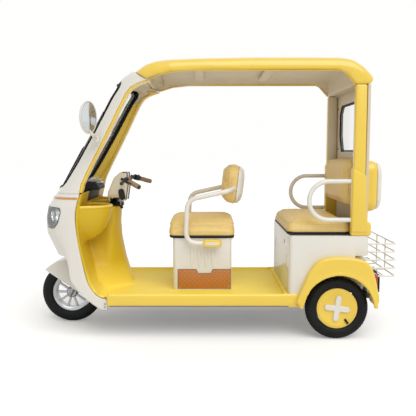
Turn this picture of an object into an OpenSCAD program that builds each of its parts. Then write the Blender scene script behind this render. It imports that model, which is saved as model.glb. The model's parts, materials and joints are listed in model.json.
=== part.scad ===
// Electric passenger tricycle with a roof, a curved windscreen and two seats.
// +X forward, +Y left, +Z up; origin on the ground below the middle of the overall box.

/* [Overall] */
// distance between the front and the rear axle
wheelbase = 1840; // [1600:5:2000]
// distance from the rear axle to the end of the basket
rear_overhang = 413; // [380:1:480]
// distance between the middles of the rear tyres
track = 800; // [700:5:900]
// top of the floor above the ground
floor_z = 286; // [220:1:340]
// half width of the floor over the sills
floor_hw = 450; // [400:1:500]
// top of the roof above the ground
roof_z = 1837; // [1700:1:1950]

/* [Wheels] */
// outside diameter of the front tyre
front_tyre_d = 434; // [400:1:460]
// width of the front tyre
front_tyre_w = 92; // [80:1:110]
// outside diameter of the rear tyres
rear_tyre_d = 414; // [380:1:440]
// width of the rear tyres
rear_tyre_w = 84; // [70:1:100]
// radius where a tyre sits on its rim
bead_r = 134; // [120:1:150]
// spokes of the front wheel
spokes = 8; // [5:1:12]
// radius of the front axle
front_axle_r = 8; // [6:0.5:12]
// radius of the rear stub axles
rear_axle_r = 14; // [10:0.5:20]
// radial play of every turning fit
play = 0.05; // [0.02:0.01:0.1]

/* [Steering] */
// lean of the steering axis from upright
rake = 26; // [20:0.5:32]
// how far the axle stands in front of the steering axis
fork_offset = 16; // [0:1:40]
// half distance between the fork legs
leg_y = 70; // [60:1:90]
// radius of a fork leg
leg_r = 14; // [10:0.5:20]
// radius of the steering stem
stem_r = 14; // [10:0.5:20]
// outside radius of the front mudguard
guard_r = 250; // [235:1:270]
// half width of the front mudguard
guard_hw = 93; // [85:1:110]
// radius of the handlebar tube
bar_r = 11; // [9:0.5:14]
// radius of the grips
grip_r = 17; // [14:0.5:20]

/* [Front body] */
// wall thickness of the outer nose
nose_t = 28; // [20:1:40]
// thickness of the windscreen pillars
frame_t = 45; // [30:1:60]
// thickness of the inner leg shield
shield_t = 20; // [12:1:30]
// half width of the windscreen opening
screen_hw = 345; // [300:1:380]
// bottom of the windscreen opening
screen_low = 1000; // [960:1:1050]
// top of the windscreen opening
screen_high = 1688; // [1600:1:1720]
// thickness of the glass
glass_t = 6; // [4:0.5:8]
// visible width of the rubber seals
seal_w = 14; // [8:1:25]
// height of the joint between nose and pillars
belt_z = 960; // [930:1:980]

/* [Front seat] */
// front face of the front seat box
seat_x = 269; // [200:1:320]
// length of the front seat box
seat_l = 403; // [350:1:460]
// half width of the front seat box
seat_hw = 240; // [200:1:280]
// top of the front seat box
seat_z = 650; // [580:1:700]
// thickness of a cushion base
pan_t = 10; // [6:1:20]
// top of the front cushion
seat_cushion_z = 778; // [700:1:820]
// thickness of the seat box walls
box_t = 12; // [6:1:20]
// radius of the armrest tubes
arm_r = 16.5; // [12:0.5:20]
// distance of the front armrests from the middle
arm_y = 285; // [270:1:320]

/* [Rear seat] */
// front face of the bench box
bench_x = -500; // [-560:1:-450]
// rear face of the bench box
bench_rear_x = -1019; // [-1060:1:-980]
// top of the bench box
bench_z = 690; // [640:1:720]
// half width of the bench box above the fenders
bench_hw = 440; // [400:1:460]
// space between the bench box and the rear tyres
wheel_gap = 23; // [15:1:40]
// top of the bench cushion
bench_cushion_z = 775; // [720:1:820]
// half width of the bench cushion
bench_cushion_hw = 380; // [340:1:390]
// outer face of the rear fenders
fender_y = 490; // [470:1:520]

/* [Hidden] */
$fn = 48;
over = 1;
overall_l = front_tyre_d / 2 + wheelbase + rear_overhang;
front_axle_x = overall_l / 2 - front_tyre_d / 2;
front_axle_z = front_tyre_d / 2;
rear_axle_x = front_axle_x - wheelbase;
rear_axle_z = rear_tyre_d / 2;
wheel_y = track / 2;
axis_x = front_axle_x - fork_offset / cos(rake);
bench_low_hw = wheel_y - rear_tyre_w / 2 - wheel_gap;

// the outlines below are drawn with the axles and the roof at these places;
// along and up carry them to the chosen wheelbase and roof height
drawn_front = 1018;
drawn_rear = -822;
drawn_roof = 1837;
front_group = 440;
rear_group = -540;
front_move = front_axle_x - drawn_front;
rear_move = rear_axle_x - drawn_rear;
function along(x) =
    x >= front_group ? x + front_move :
    x <= rear_group ? x + rear_move :
    x + rear_move + (front_move - rear_move) * (x - rear_group) / (front_group - rear_group);
function up(z) = z <= belt_z ? z : belt_z + (z - belt_z) * (roof_z - belt_z) / (drawn_roof - belt_z);
function at(p) = [along(p[0]), p[1], up(p[2])];
basket_x = drawn_rear - rear_overhang;

// nose and windscreen: height, foremost point on the middle line, half width
NZ = 0;
NX = 1;
NW = 2;
nose = [
    [180, 1120, 425],
    [400, 1126, 428],
    [560, 1130, 430],
    [700, 1136, 430],
    [800, 1140, 430],
    [875, 1122, 430],
    [930, 1086, 429],
    [985, 1046, 428],
    [1161, 938, 424],
    [1366, 824, 419],
    [1582, 712, 412],
    [1658, 664, 408],
    [1720, 612, 404],
    [1760, 556, 400],
    [1786, 500, 394]
];
nose_belt = 7;
nose_header = 12;
nose_depth = 300;
nose_power = 3.4;
nose_tail = 560;
nose_steps = 20;

// rear edge of the nose from the belt down to the sill
lip = spline([
    [860, belt_z], [881, 891], [892, 826], [891, 761], [880, 662],
    [857, 530], [827, 397], [796, 330], [758, 287], [722, 270]
], 3);
// front edge of the nose sides from the sill up to the wheel opening
nose_edge = spline([
    [702, 192], [748, 202], [814, 250], [879, 311], [944, 406], [994, 507], [1012, 545]
], 3);
// rear edge of the windscreen pillars from the belt to the roof
pillar_edge = spline([
    [860, belt_z], [849, 1020], [805, 1117], [739, 1245], [652, 1416], [560, 1600], [500, 1660], [412, 1690]
], 2);
// joint between the white frame and the roof
roof_seam = [[412, 1690], [556, 1781]];

// roof: station along X, shoulder height, lower edge, half width, rise of the crown
RX = 0;
RT = 1;
RB = 2;
RW = 3;
RC = 4;
roof_rim_z = 1660;
roof = [
    [570, roof_z - 125, 1668, 390, 44],
    [500, roof_z - 88, 1678, 402, 38],
    [433, roof_z - 42, 1692, 414, 24],
    [368, roof_z - 22, 1715, 428, 14],
    [272, roof_z - 12, 1738, 440, 10],
    [79, roof_z - 6, 1746, 448, 8],
    [-241, roof_z, 1749, 450, 8],
    [-562, roof_z, 1752, 450, 8],
    [-800, roof_z - 1, 1750, 450, 8],
    [-850, roof_z - 5, 1725, 449, 8],
    [-885, roof_z - 12, 1685, 448, 8],
    [-908, roof_z - 20, roof_rim_z, 447, 8],
    [-962, roof_z - 54, roof_rim_z, 445, 8],
    [-1002, roof_z - 92, roof_rim_z, 440, 8],
    [-1022, roof_z - 124, roof_rim_z + 30, 432, 8]
];
roof_inner = [for (s = roof) if (s[RX] < 480 && s[RX] > -950) s];
roof_shell_t = 28;

// column cover: height, rear face, half width there, corner, half width there
HZ = 0;
HX = 1;
HW = 2;
HCX = 3;
HCW = 4;
hump = [
    [floor_z, 566, 60, 767, 225],
    [388, 597, 60, 752, 203],
    [484, 625, 58, 735, 172],
    [631, 652, 55, 712, 142],
    [741, 658, 52, 700, 122],
    [850, 650, 50, 695, 108]
];
hump_t = 14;
hump_front = 905;

// points along the steering axis
function on_axis(s) = [axis_x - s * sin(rake), 0, front_axle_z + s * cos(rake)];
head_low = 400;
head_high = 620;
crown_s = 292;
stem_top = 800;

function nose_y(t, hw) = hw * sign(sin(t)) * pow(abs(sin(t)), 2 / nose_power);
function nose_x(t, front) = front - nose_depth + nose_depth * pow(abs(cos(t)), 2 / nose_power);
function nose_ring(level, inset) = concat(
    [for (i = [0:nose_steps])
        let (t = -90 + 180 * i / nose_steps)
        at([nose_x(t, level[NX] - inset), nose_y(t, level[NW] - inset), level[NZ]])],
    [for (s = [1, -1]) at([level[NX] - nose_tail, s * (level[NW] - inset), level[NZ]])]
);
function shift(points, dx, dz) = [for (p = points) [p[0] + dx, p[1] + dz]];
function reversed(points) = [for (i = [len(points) - 1:-1:0]) points[i]];
// smooth curve through every point, n steps a span
function spline(p, n) = concat([
    for (i = [0:len(p) - 2], k = [0:n - 1])
        let (t = k / n, a = p[max(i - 1, 0)], b = p[i], c = p[i + 1], d = p[min(i + 2, len(p) - 1)])
        b + 0.5 * t * (c - a + t * (2 * a - 5 * b + 4 * c - d + t * (3 * (b - c) + d - a)))
], [p[len(p) - 1]]);
// rectangle with round corners
function round_rect(x0, x1, y0, y1, r, n = 5) = [
    for (c = [[x1 - r, y1 - r, 0], [x0 + r, y1 - r, 90], [x0 + r, y0 + r, 180], [x1 - r, y0 + r, 270]])
        for (k = [0:n]) [c[0] + r * cos(c[2] + 90 * k / n), c[1] + r * sin(c[2] + 90 * k / n)]
];
function ring_z(outline, z) = [for (p = outline) [p[0], p[1], z]];
function ring_x(outline, x) = [for (p = outline) [x, p[0], p[1]]];

// convex block between two rings of points
module slab(a, b) {
    hull() polyhedron(concat(a, b), [[for (i = [0:len(a) - 1]) i], [for (i = [0:len(b) - 1]) len(a) + i]]);
}

module loft(rings) {
    for (i = [0:len(rings) - 2]) {
        slab(rings[i], rings[i + 1]);
    }
}
// box with round upright edges
module upright(x0, x1, y0, y1, z0, z1, r) {
    translate([0, 0, z0]) linear_extrude(z1 - z0) polygon(round_rect(along(x0), along(x1), y0, y1, r));
}

// solid block of the nose and windscreen, drawn in by an inset
module nose_block(inset, from = 0, to = len(nose) - 1) {
    for (i = [from:to - 1]) {
        slab(nose_ring(nose[i], inset), nose_ring(nose[i + 1], inset));
    }
}

// area of the side view, drawn out across the whole width
module side_area(points, y0 = -700, y1 = 700) {
    translate([0, y1, 0]) rotate([90, 0, 0]) linear_extrude(y1 - y0)
        polygon([for (p = points) [along(p[0]), up(p[1])]]);
}

// rounded window outline in the front view
module screen_outline(grow) {
    offset(r = 50 + grow) translate([-screen_hw + 50, up(screen_low) + 50])
        square([2 * screen_hw - 100, up(screen_high) - up(screen_low) - 100]);
}
module screen_area(grow) {
    translate([along(300), 0, 0]) rotate([90, 0, 90]) linear_extrude(1000) screen_outline(grow);
}

// roof section from its station row
roof_side_h = 62;
function roof_ring(s, inset, drop) = let (
    w = s[RW] - inset, t = s[RT] - inset, z = up(s[RB]) - drop, h = min(roof_side_h, (s[RT] - up(s[RB])) * 0.9)
) [
    for (p = [
        [-w, z], [w, z], [w + 2, t - h], [w - 8, t - h * 0.55], [w - 32, t - h * 0.2], [w - 80, t],
        [w / 3, t + s[RC]], [-w / 3, t + s[RC]],
        [80 - w, t], [32 - w, t - h * 0.2], [8 - w, t - h * 0.55], [-w - 2, t - h]
    ]) [along(s[RX]), p[0], p[1]]
];
module roof_block(rows, inset, drop) {
    for (i = [0:len(rows) - 2]) {
        slab(roof_ring(rows[i], inset, drop), roof_ring(rows[i + 1], inset, drop));
    }
}

// column cover section from its level row, drawn in by t and lowered by drop
function hump_half(x, w, c, cw) = spline([
    [x, w * 0.5], [x + 10, w + 6], [(x + c) / 2 + 6, (w + cw) / 2 + 16], [c + 10, cw], [hump_front, cw + 15]
], 2);
function hump_ring(h, t, drop) =
    let (half = hump_half(h[HX] + t, h[HW] - t * 0.6, h[HCX] + t * 0.6, h[HCW] - t))
    [for (p = concat(half, reversed([for (q = half) [q[0], -q[1]]]))) [along(p[0]), p[1], h[HZ] - drop]];
module hump_block(t, base_drop, top_drop) {
    for (i = [0:len(hump) - 2]) {
        slab(hump_ring(hump[i], t, i == 0 ? base_drop : 0),
            hump_ring(hump[i + 1], t, i == len(hump) - 2 ? top_drop : 0));
    }
}

// round tube along corner points with bends of one radius, a thin weld collar at each bend's end
weld_gap = 0.4;
weld_l = 1.5;
function unit(v) = v / norm(v);
function turn_at(p, i) = 180 - acos(unit(p[i - 1] - p[i]) * unit(p[i + 1] - p[i]));
function setback(p, i, bend) = (i == 0 || i == len(p) - 1) ? 0 : bend * tan(turn_at(p, i) / 2);
module rod(a, b, r) {
    d = b - a;
    translate(a) rotate([0, acos(d[2] / norm(d)), atan2(d[1], d[0])]) cylinder(r = r, h = norm(d));
}
module tube(corners, r, bend) {
    p = [for (c = corners) at(c)];
    last = len(p) - 1;
    for (i = [0:last - 1]) {
        d = unit(p[i + 1] - p[i]);
        rod(p[i] + d * (setback(p, i, bend) + (i > 0 ? weld_gap : 0)),
            p[i + 1] - d * (setback(p, i + 1, bend) + (i + 1 < last ? weld_gap : 0)), r);
    }
    for (i = [1:1:last - 1]) {
        a = unit(p[i - 1] - p[i]);
        b = unit(p[i + 1] - p[i]);
        turn = turn_at(p, i);
        c = p[i] + unit(a + b) * bend / cos(turn / 2);
        ex = unit(p[i] + a * setback(p, i, bend) - c);
        ey = -1 * a;
        ez = cross(ex, ey);
        multmatrix([
            [ex[0], ey[0], ez[0], c[0]],
            [ex[1], ey[1], ez[1], c[1]],
            [ex[2], ey[2], ez[2], c[2]]
        ]) rotate_extrude(angle = turn) translate([bend, 0]) circle(r = r);
        for (d = [a, b]) {
            q = p[i] + d * setback(p, i, bend);
            rod(q - d * weld_l, q + d * weld_l, r + weld_gap);
        }
    }
}
module box(x0, x1, y0, y1, z0, z1) {
    translate([x0, y0, z0]) cube([x1 - x0, y1 - y0, z1 - z0]);
}
module block(x0, x1, y0, y1, z0, z1) {
    box(along(x0), along(x1), y0, y1, up(z0), up(z1));
}
module both_sides() {
    children();
    mirror([0, 1, 0]) children();
}
module cross_rod(x, z, r, y0, y1) {
    translate([along(x), y1, z]) rotate([90, 0, 0]) cylinder(r = r, h = y1 - y0);
}

rail_y = 200;
rail_w = 40;
rail_h = 40;
floor_t = 24;
rail_top = floor_z - floor_t;
rear_rail_top = 300;
cross_hw = 390.5;
tie_hole_r = 6;
tie_hole_y = 100;

module rail(x0, x1, z0, z1) {
    block(x0, x1, rail_y - rail_w / 2, rail_y + rail_w / 2, z0, z1);
}
// welded steel frame below the floor with the steering head
module chassis_frame() {
    color("#3b3d3f") {
        difference() {
            union() {
                both_sides() {
                    rail(bench_x - 20, 740, rail_top - rail_h, rail_top);
                    rail(bench_x - 20, bench_x - play, rail_top - rail_h, rear_rail_top);
                    rail(-1100, bench_x - play, rear_rail_top - 38, rear_rail_top);
                    rod([along(722), 130, rail_top - 20], on_axis(head_low + 30) + [-20, 0, 0], 18);
                }
                for (x = [720, 60, -480, -1080]) {
                    zt = x < -500 ? rear_rail_top : rail_top;
                    block(x - 20, x + 20, -rail_y, rail_y, zt - 38, zt);
                }
                for (x = [500, -300]) {
                    block(x - 20, x + 20, -cross_hw, cross_hw, rail_top - 30, rail_top);
                }
                rod(on_axis(head_low), on_axis(head_high), stem_r + 11);
            }
            rod(on_axis(head_low - 60), on_axis(head_high + 60), stem_r + play);
            for (y = [-tie_hole_y, tie_hole_y]) {
                translate([along(-1080), y, 200]) cylinder(r = tie_hole_r, h = 200);
            }
        }
    }
}

// one piece floor tray with round raised sills
sill_z = 216;
sill_rear = -560;
sill_front = 690;
sill = [
    [0, rail_top], [400, rail_top], [400, sill_z + 14], [410, sill_z + 4], [424, sill_z],
    [438, sill_z + 3], [447, sill_z + 12], [floor_hw, sill_z + 26], [floor_hw, floor_z + 8],
    [446, floor_z + 19], [438, floor_z + 24], [430, floor_z + 21], [423, floor_z + 8],
    [410, floor_z], [0, floor_z]
];
module sill_length(x0, x1) {
    translate([along(x0), 0, 0]) rotate([90, 0, 90]) linear_extrude(along(x1) - along(x0)) polygon(sill);
}
module floor_pan() {
    color("#e8c23c") {
        both_sides() sill_length(bench_x, sill_front);
        block(sill_front - over, 702, -396, 396, rail_top, floor_z);
        both_sides() intersection() {
            sill_length(sill_rear, bench_x + over);
            block(sill_rear, bench_x + over, bench_low_hw + 10, floor_hw, 0, floor_z + 40);
        }
    }
}

// outer nose with the sides that run down to the sills
module front_fairing() {
    color("#e6e2d6") {
        difference() {
            intersection() {
                difference() {
                    nose_block(0, 0, nose_belt);
                    nose_block(nose_t, 0, nose_belt);
                }
                side_area(concat(lip, [[692, 262], [692, 192]], nose_edge, [[1300, 545], [1300, belt_z]]));
            }
            headlamp_shape(0.5);
        }
    }
}

headlamp_side = [[1100, 871], [997, 866], [990, 842], [1012, 771], [1040, 738], [1100, 738]];
module headlamp_shape(grow) {
    intersection() {
        nose_block(-3 - grow, 2, 7);
        side_area(headlamp_side);
        difference() {
            block(800, 1300, -500, 500, 738 - grow, 871 + grow);
            block(800, 1300, -230 + grow, 230 - grow, 700, 900);
        }
    }
}

// clear lamps let into the nose corners
module headlamps() {
    color("#dfe6e8") {
        difference() {
            headlamp_shape(0);
            nose_block(nose_t, 2, 7);
        }
    }
}

// inner leg shield with column cover, bowl pockets and dash
behind_lip = concat(lip, [[500, 270], [500, belt_z]]);
pocket_at = [884, 262, 874];
pocket_size = [208, 150, 152];
pocket_t = 14;
module pocket_bowl(inset) {
    translate(at(pocket_at)) scale(pocket_size - [inset, inset, inset]) sphere(r = 1, $fn = 40);
}
module leg_shield() {
    color("#d9ae22") {
        difference() {
            union() {
                intersection() {
                    nose_block(2, 0, nose_belt);
                    side_area(concat(lip, reversed(shift(lip, -shield_t, 8))));
                }
                intersection() {
                    nose_block(nose_t + 0.5, 5, nose_belt);
                    side_area([[1080, 930], [1080, 948], [850, 942], [850, 905], [895, 905]]);
                }
                intersection() {
                    hump_block(0, 0, 0);
                    side_area(concat(shift(lip, -1, 0), [[500, 270], [500, belt_z]]));
                }
                intersection() {
                    both_sides() pocket_bowl(0);
                    nose_block(2, 3, 6);
                    side_area([for (p = behind_lip) [p[0], min(p[1], pocket_at[2])]]);
                }
            }
            hump_block(hump_t, 40, hump_t);
            intersection() {
                both_sides() pocket_bowl(pocket_t);
                nose_block(16, 3, 6);
                side_area(shift(behind_lip, -shield_t, 0));
            }
            rod(on_axis(600), on_axis(900), stem_r + 16);
        }
    }
}

// white pillars and header round the windscreen
frame_side = concat(pillar_edge, [roof_seam[1], [1300, 1781], [1300, belt_z]]);
module windscreen_frame() {
    color("#e6e2d6") {
        difference() {
            intersection() {
                difference() {
                    nose_block(0, nose_belt - 1);
                    nose_block(frame_t, nose_belt - 1, nose_header);
                }
                side_area(frame_side);
            }
            screen_area(0);
        }
    }
}

// yellow strip and inner skin of the pillars
trim_t = 8;
module pillar_trim() {
    color("#d9ae22") {
        difference() {
            union() {
                intersection() {
                    difference() {
                        nose_block(2, nose_belt - 1, nose_header);
                        nose_block(frame_t + trim_t, nose_belt - 1, nose_header);
                    }
                    side_area(concat(pillar_edge, reversed(shift(pillar_edge, -16, -6))));
                }
                difference() {
                    intersection() {
                        difference() {
                            nose_block(frame_t + 0.3, nose_belt - 1, nose_header);
                            nose_block(frame_t + trim_t, nose_belt - 1, nose_header);
                        }
                        side_area(concat(shift(pillar_edge, -2, 0), [[1300, 1690], [1300, belt_z + 9]]));
                    }
                    screen_area(10);
                }
            }
            box(300, 1400, -700, 700, 0, belt_z + 8.3);
        }
    }
}

// rubber seals of the windscreen and the rear window
module window_seals() {
    color("#1d1d1d") {
        intersection() {
            difference() {
                nose_block(-3, nose_belt - 1, nose_header);
                nose_block(22, nose_belt - 1, nose_header);
            }
            difference() {
                screen_area(-0.2);
                screen_area(-seal_w);
            }
        }
        difference() {
            window_area(-0.2, wall_rear - 4, wall_front + 4);
            window_area(-seal_w, wall_rear - 10, wall_front + 10);
        }
    }
}

// bent windscreen and flat rear window
module glazing() {
    color("#c9d6d6") {
        intersection() {
            difference() {
                nose_block(6, nose_belt - 1, nose_header);
                nose_block(6 + glass_t, nose_belt - 1, nose_header);
            }
            screen_area(-seal_w - 0.2);
        }
        window_area(-seal_w - 0.2, wall_rear + 6, wall_rear + 6 + glass_t);
    }
}

// single arm wiper standing up the middle of the glass
wiper_lean = atan2(nose[nose_belt][NX] - nose[10][NX], up(nose[10][NZ]) - up(nose[nose_belt][NZ]));
module wiper() {
    color("#202020") difference() {
        translate(at([nose[nose_belt][NX], 0, nose[nose_belt][NZ]])) rotate([0, -wiper_lean, 0]) {
            translate([2, 0, -22]) rotate([0, 90, 0]) cylinder(r = 15, h = 36);
            box(18, 30, -6, 6, -30, 20);
            box(18, 30, -6, 6, 0, 300);
            box(8, 22, -5, 5, 80, 600);
            box(6, 26, -8, 8, 285, 315);
        }
        nose_block(-0.3, 5, 8);
    }
}

// instrument housing on the dash
pod_hw = 120;
module instrument_pod() {
    color("#191a1b") {
        side_area([[795, 968.4], [868, 968.4], [868, 946], [930, 948], [925, 978], [893, 1030], [815, 1026],
            [790, 985]], -pod_hw, pod_hw);
    }
}

// mirror heads on stubs at the pillars
mirror_x = 773;
mirror_y = 548;
mirror_z = 1446;
module mirrors() {
    color("#e6e2d6") {
        both_sides() {
            translate(at([mirror_x, mirror_y, mirror_z])) rotate([0, 0, 25]) difference() {
                scale([0.36, 0.66, 1.03]) sphere(r = 100, $fn = 40);
                box(-90, -22, -100, 100, -150, 150);
            }
            difference() {
                rod(at([725, 370, 1345]), at([772, 540, 1395]), 9);
                nose_block(0, 8, 11);
            }
        }
    }
}

// moulded roof, open below
module roof_shell() {
    color("#f0d050") {
        difference() {
            roof_block(roof, 0, 0);
            roof_block(roof_inner, roof_shell_t, 60);
            side_area([roof_seam[0], roof_seam[1], [700, 1872], [700, 1600], [330, 1600], [330, 1638]]);
        }
    }
}

// ceiling lining with two cross ribs
lining_t = 10;
lined = [for (s = roof_inner) if (s[RX] < 400) s];
module roof_lining() {
    color("#c0ae8c") {
        intersection() {
            difference() {
                roof_block(roof_inner, roof_shell_t + 0.5, 60);
                roof_block(roof_inner, roof_shell_t + lining_t, 60);
            }
            side_area(concat([for (s = lined) [s[RX], s[RB] + 18]],
                [[lined[len(lined) - 1][RX], 2000], [lined[0][RX], 2000]]));
        }
        for (x = [90, -390]) {
            block(x - 30, x + 30, -365, 365, drawn_roof - 62, drawn_roof - roof_shell_t - 16);
        }
    }
}

pillar_out = 445;
pillar_in = 395;
pillar_side = [
    [-908, roof_rim_z], [-908, 1140], [-898, 1120], [-898, bench_z], [-1030, bench_z], [-1030, 770],
    [-990, 800], [-985, 1110], [-982, roof_rim_z]
];

// rear posts with their foot sleeves
module rear_pillars() {
    color("#e9c948") {
        both_sides() side_area(pillar_side, pillar_in, pillar_out);
    }
}

wall_front = -985;
wall_rear = -1003;
window_low = 1232;
window_high = 1579;
window_hw = 320;
module window_outline(grow) {
    offset(delta = grow) polygon([
        for (p = [
            [60 - window_hw, window_low], [window_hw - 60, window_low], [window_hw, window_low + 120],
            [window_hw, window_high - 60], [window_hw - 60, window_high], [60 - window_hw, window_high],
            [-window_hw, window_high - 60], [-window_hw, window_low + 120]
        ]) [p[0], up(p[1])]
    ]);
}
module window_area(grow, x0, x1) {
    translate([along(x0), 0, 0]) rotate([90, 0, 90]) linear_extrude(x1 - x0) window_outline(grow);
}

// back wall of the cab
module rear_wall() {
    color("#c0ae8c") {
        difference() {
            union() {
                block(wall_rear, wall_front, -pillar_out, pillar_out, bench_z, roof_rim_z - 0.3);
            }
            window_area(0, wall_rear - 10, wall_front + 10);
            both_sides() side_area(pillar_side, pillar_in, pillar_out + 10);
        }
    }
}
// inner back cushion on the wall
pad_low = 870;
pad_high = 1185;
pad_front = -885;
rear_pad_hw = 340;
module rear_pad() {
    steps = [
        [wall_front, 6], [wall_front + 14, 0], [pad_front - 26, 0], [pad_front - 9, 10], [pad_front, 32]
    ];
    color("#dcb84e") loft([for (s = steps) ring_x(
        round_rect(s[1] - rear_pad_hw, rear_pad_hw - s[1], pad_low + s[1], pad_high - s[1], 55),
        along(s[0])
    )]);
}

// moulded back of the rear seat outside the wall, in two colours
cap_low = 836;
cap_high = 1175;
cap_hw = 362;
cap_joint = -1087;
cap_rear = -1127;
function cap_ring(x, inset) =
    ring_x(round_rect(inset - cap_hw, cap_hw - inset, cap_low + inset, cap_high - inset, 70), along(x));
module rear_cap_body() {
    color("#e9c948") loft([
        cap_ring(wall_rear, 4), cap_ring(wall_rear - 8, 0),
        cap_ring(cap_joint + 25, 0), cap_ring(cap_joint, 8)
    ]);
}
module rear_cap() {
    color("#e6e2d6") loft([
        cap_ring(cap_joint, 9), cap_ring(cap_rear + 22, 14),
        cap_ring(cap_rear + 8, 26), cap_ring(cap_rear, 48)
    ]);
}

rail_loop_y = 420;
module grab_rails() {
    color("#f1efe8") {
        both_sides() {
            tube([
                [-898, rail_loop_y, 1044], [-628 - arm_r, rail_loop_y, 1044],
                [-628 - arm_r, rail_loop_y, 793], [-898, rail_loop_y, 793]
            ], arm_r, 75);
        }
    }
}

hinge_r = 4;
knuckle_r = 7;
bench_hinge = [-930, bench_z + 13];
bench_low_z = rear_rail_top;
fender_top = 556;

// hollow storage box below the bench
module bench_box() {
    color("#e9e6dc") {
        difference() {
            union() {
                upright(bench_rear_x, bench_x, -bench_low_hw, bench_low_hw, bench_low_z, bench_z, 30);
                upright(bench_rear_x, bench_x, -bench_hw, bench_hw, fender_top + 4, bench_z, 30);
            }
            block(bench_rear_x + box_t, bench_x - box_t, -bench_low_hw + box_t, bench_low_hw - box_t,
                bench_low_z + box_t, bench_z + over);
            block(-880, bench_x - box_t, -bench_hw + box_t, bench_hw - box_t,
                fender_top + 4 + box_t, bench_z + over);
        }
        for (y = [-240, 240]) {
            difference() {
                block(-960, -922, y - 32, y - 20, bench_z - 30, bench_z + 21);
                block(-925, -900, y - 60, y + 60, bench_z - over, bench_z + 30);
            }
            block(bench_rear_x + box_t, -925, y - 32, y - 20, bench_z - 60, bench_z);
            cross_rod(bench_hinge[0], bench_hinge[1], hinge_r, y - 32, y + 24);
        }
    }
}

arch_r = 228;
fender_side = concat(spline([
    [-548, 262], [-560, 300], [-588, 368], [-630, 461], [-680, 525], [-757, fender_top - 2],
    [-853, fender_top], [-951, 544], [-1010, 516], [-1048, 448], [-1074, 340], [-1082, 270], [-1062, 228]
], 3), [[-1024, 232], [-1024, 240], [-560, 240]]);
arch_lip = 16;
module rear_fenders() {
    color("#ecd052") {
        both_sides() {
            difference() {
                union() {
                    side_area(fender_side, bench_low_hw, fender_y);
                    intersection() {
                        cross_rod(drawn_rear, rear_axle_z, arch_r + arch_lip, fender_y - 20, fender_y + 6);
                        side_area(fender_side, bench_low_hw, fender_y + 30);
                    }
                }
                cross_rod(drawn_rear, rear_axle_z, arch_r, bench_low_hw - over, fender_y + 30);
                cross_rod(drawn_rear, rear_axle_z, arch_r + 10, bench_low_hw - over, fender_y - 14);
                block(sill_rear - over, bench_x, bench_low_hw, floor_hw + 0.3, 200, floor_z + 25);
            }
        }
    }
}
module tail_lamps() {
    color("#a81f1c") {
        both_sides() {
            difference() {
                side_area([[-1100, 360], [-1100, 440], [-1000, 440], [-1000, 360]], 395, 465);
                side_area(fender_side, 380, fender_y);
                side_area([[-1055, 448], [-1055, 300], [-900, 300], [-900, 448]], 380, 500);
            }
        }
    }
}

basket_hw = 330;
wire_r = 4;
basket_levels = [402, 457, 512, 567, 621];
basket_front = bench_rear_x;
module basket() {
    color("#ece9e0") {
        for (z = basket_levels) {
            tube([[basket_front, basket_hw - wire_r, z], [basket_x + wire_r, basket_hw - wire_r, z],
                [basket_x + wire_r, wire_r - basket_hw, z], [basket_front, wire_r - basket_hw, z]], wire_r, 40);
        }
        for (y = [-250, -125, 0, 125, 250]) {
            block(basket_x + 2 * wire_r - 1, basket_x + 2 * wire_r + 3, y - 12, y + 12, 396, 627);
            block(basket_x + 2 * wire_r + 1, basket_front, y - 12, y + 12, 393, 400);
        }
        both_sides() {
            for (x = [-1170, -1100]) {
                block(x - 12, x + 12, basket_hw - 2 * wire_r - 3, basket_hw - 2 * wire_r + 1, 396, 627);
            }
            block(-1182, -1088, -basket_hw + 6, basket_hw - 6, 391, 400);
            block(-1100, -1070, rail_y - 15, rail_y + 15, rear_rail_top, 395);
        }
    }
}
module plate_bracket() {
    color("#1c1c1c") {
        difference() {
            union() {
                block(-1196, -1190, -110, 110, 236, 360);
                block(-1196, -1190, -40, 40, 300, 391);
                block(-1196, -1160, -40, 40, 385, 391);
            }
            for (y = [-60, 60]) {
                translate([along(-1200), y, 280]) rotate([0, 90, 0]) cylinder(r = 3.5, h = 20);
            }
        }
    }
}

// beam axle with the drive motor on leaf springs
spring_y = 270;
module rear_axle() {
    color("#55585b") {
        cross_rod(drawn_rear, rear_axle_z, 30, -345, 345);
        cross_rod(drawn_rear, rear_axle_z, rear_axle_r, -wheel_y - 25, wheel_y + 25);
        cross_rod(drawn_rear, rear_axle_z, 78, -70, 70);
        cross_rod(drawn_rear - 10, rear_axle_z, 70, 40, 180);
        both_sides() {
            block(drawn_rear - 35, drawn_rear + 35, spring_y - 25, spring_y + 25, rear_axle_z, 242);
            block(-1070, -580, spring_y - 22, spring_y + 22, 240, 250);
            block(-1000, -650, spring_y - 22, spring_y + 22, 249, 258);
            for (x = [-1070, -600]) {
                block(x, x + 20, rail_y + rail_w / 2, spring_y + 22, 240, 290);
            }
        }
    }
}

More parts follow.
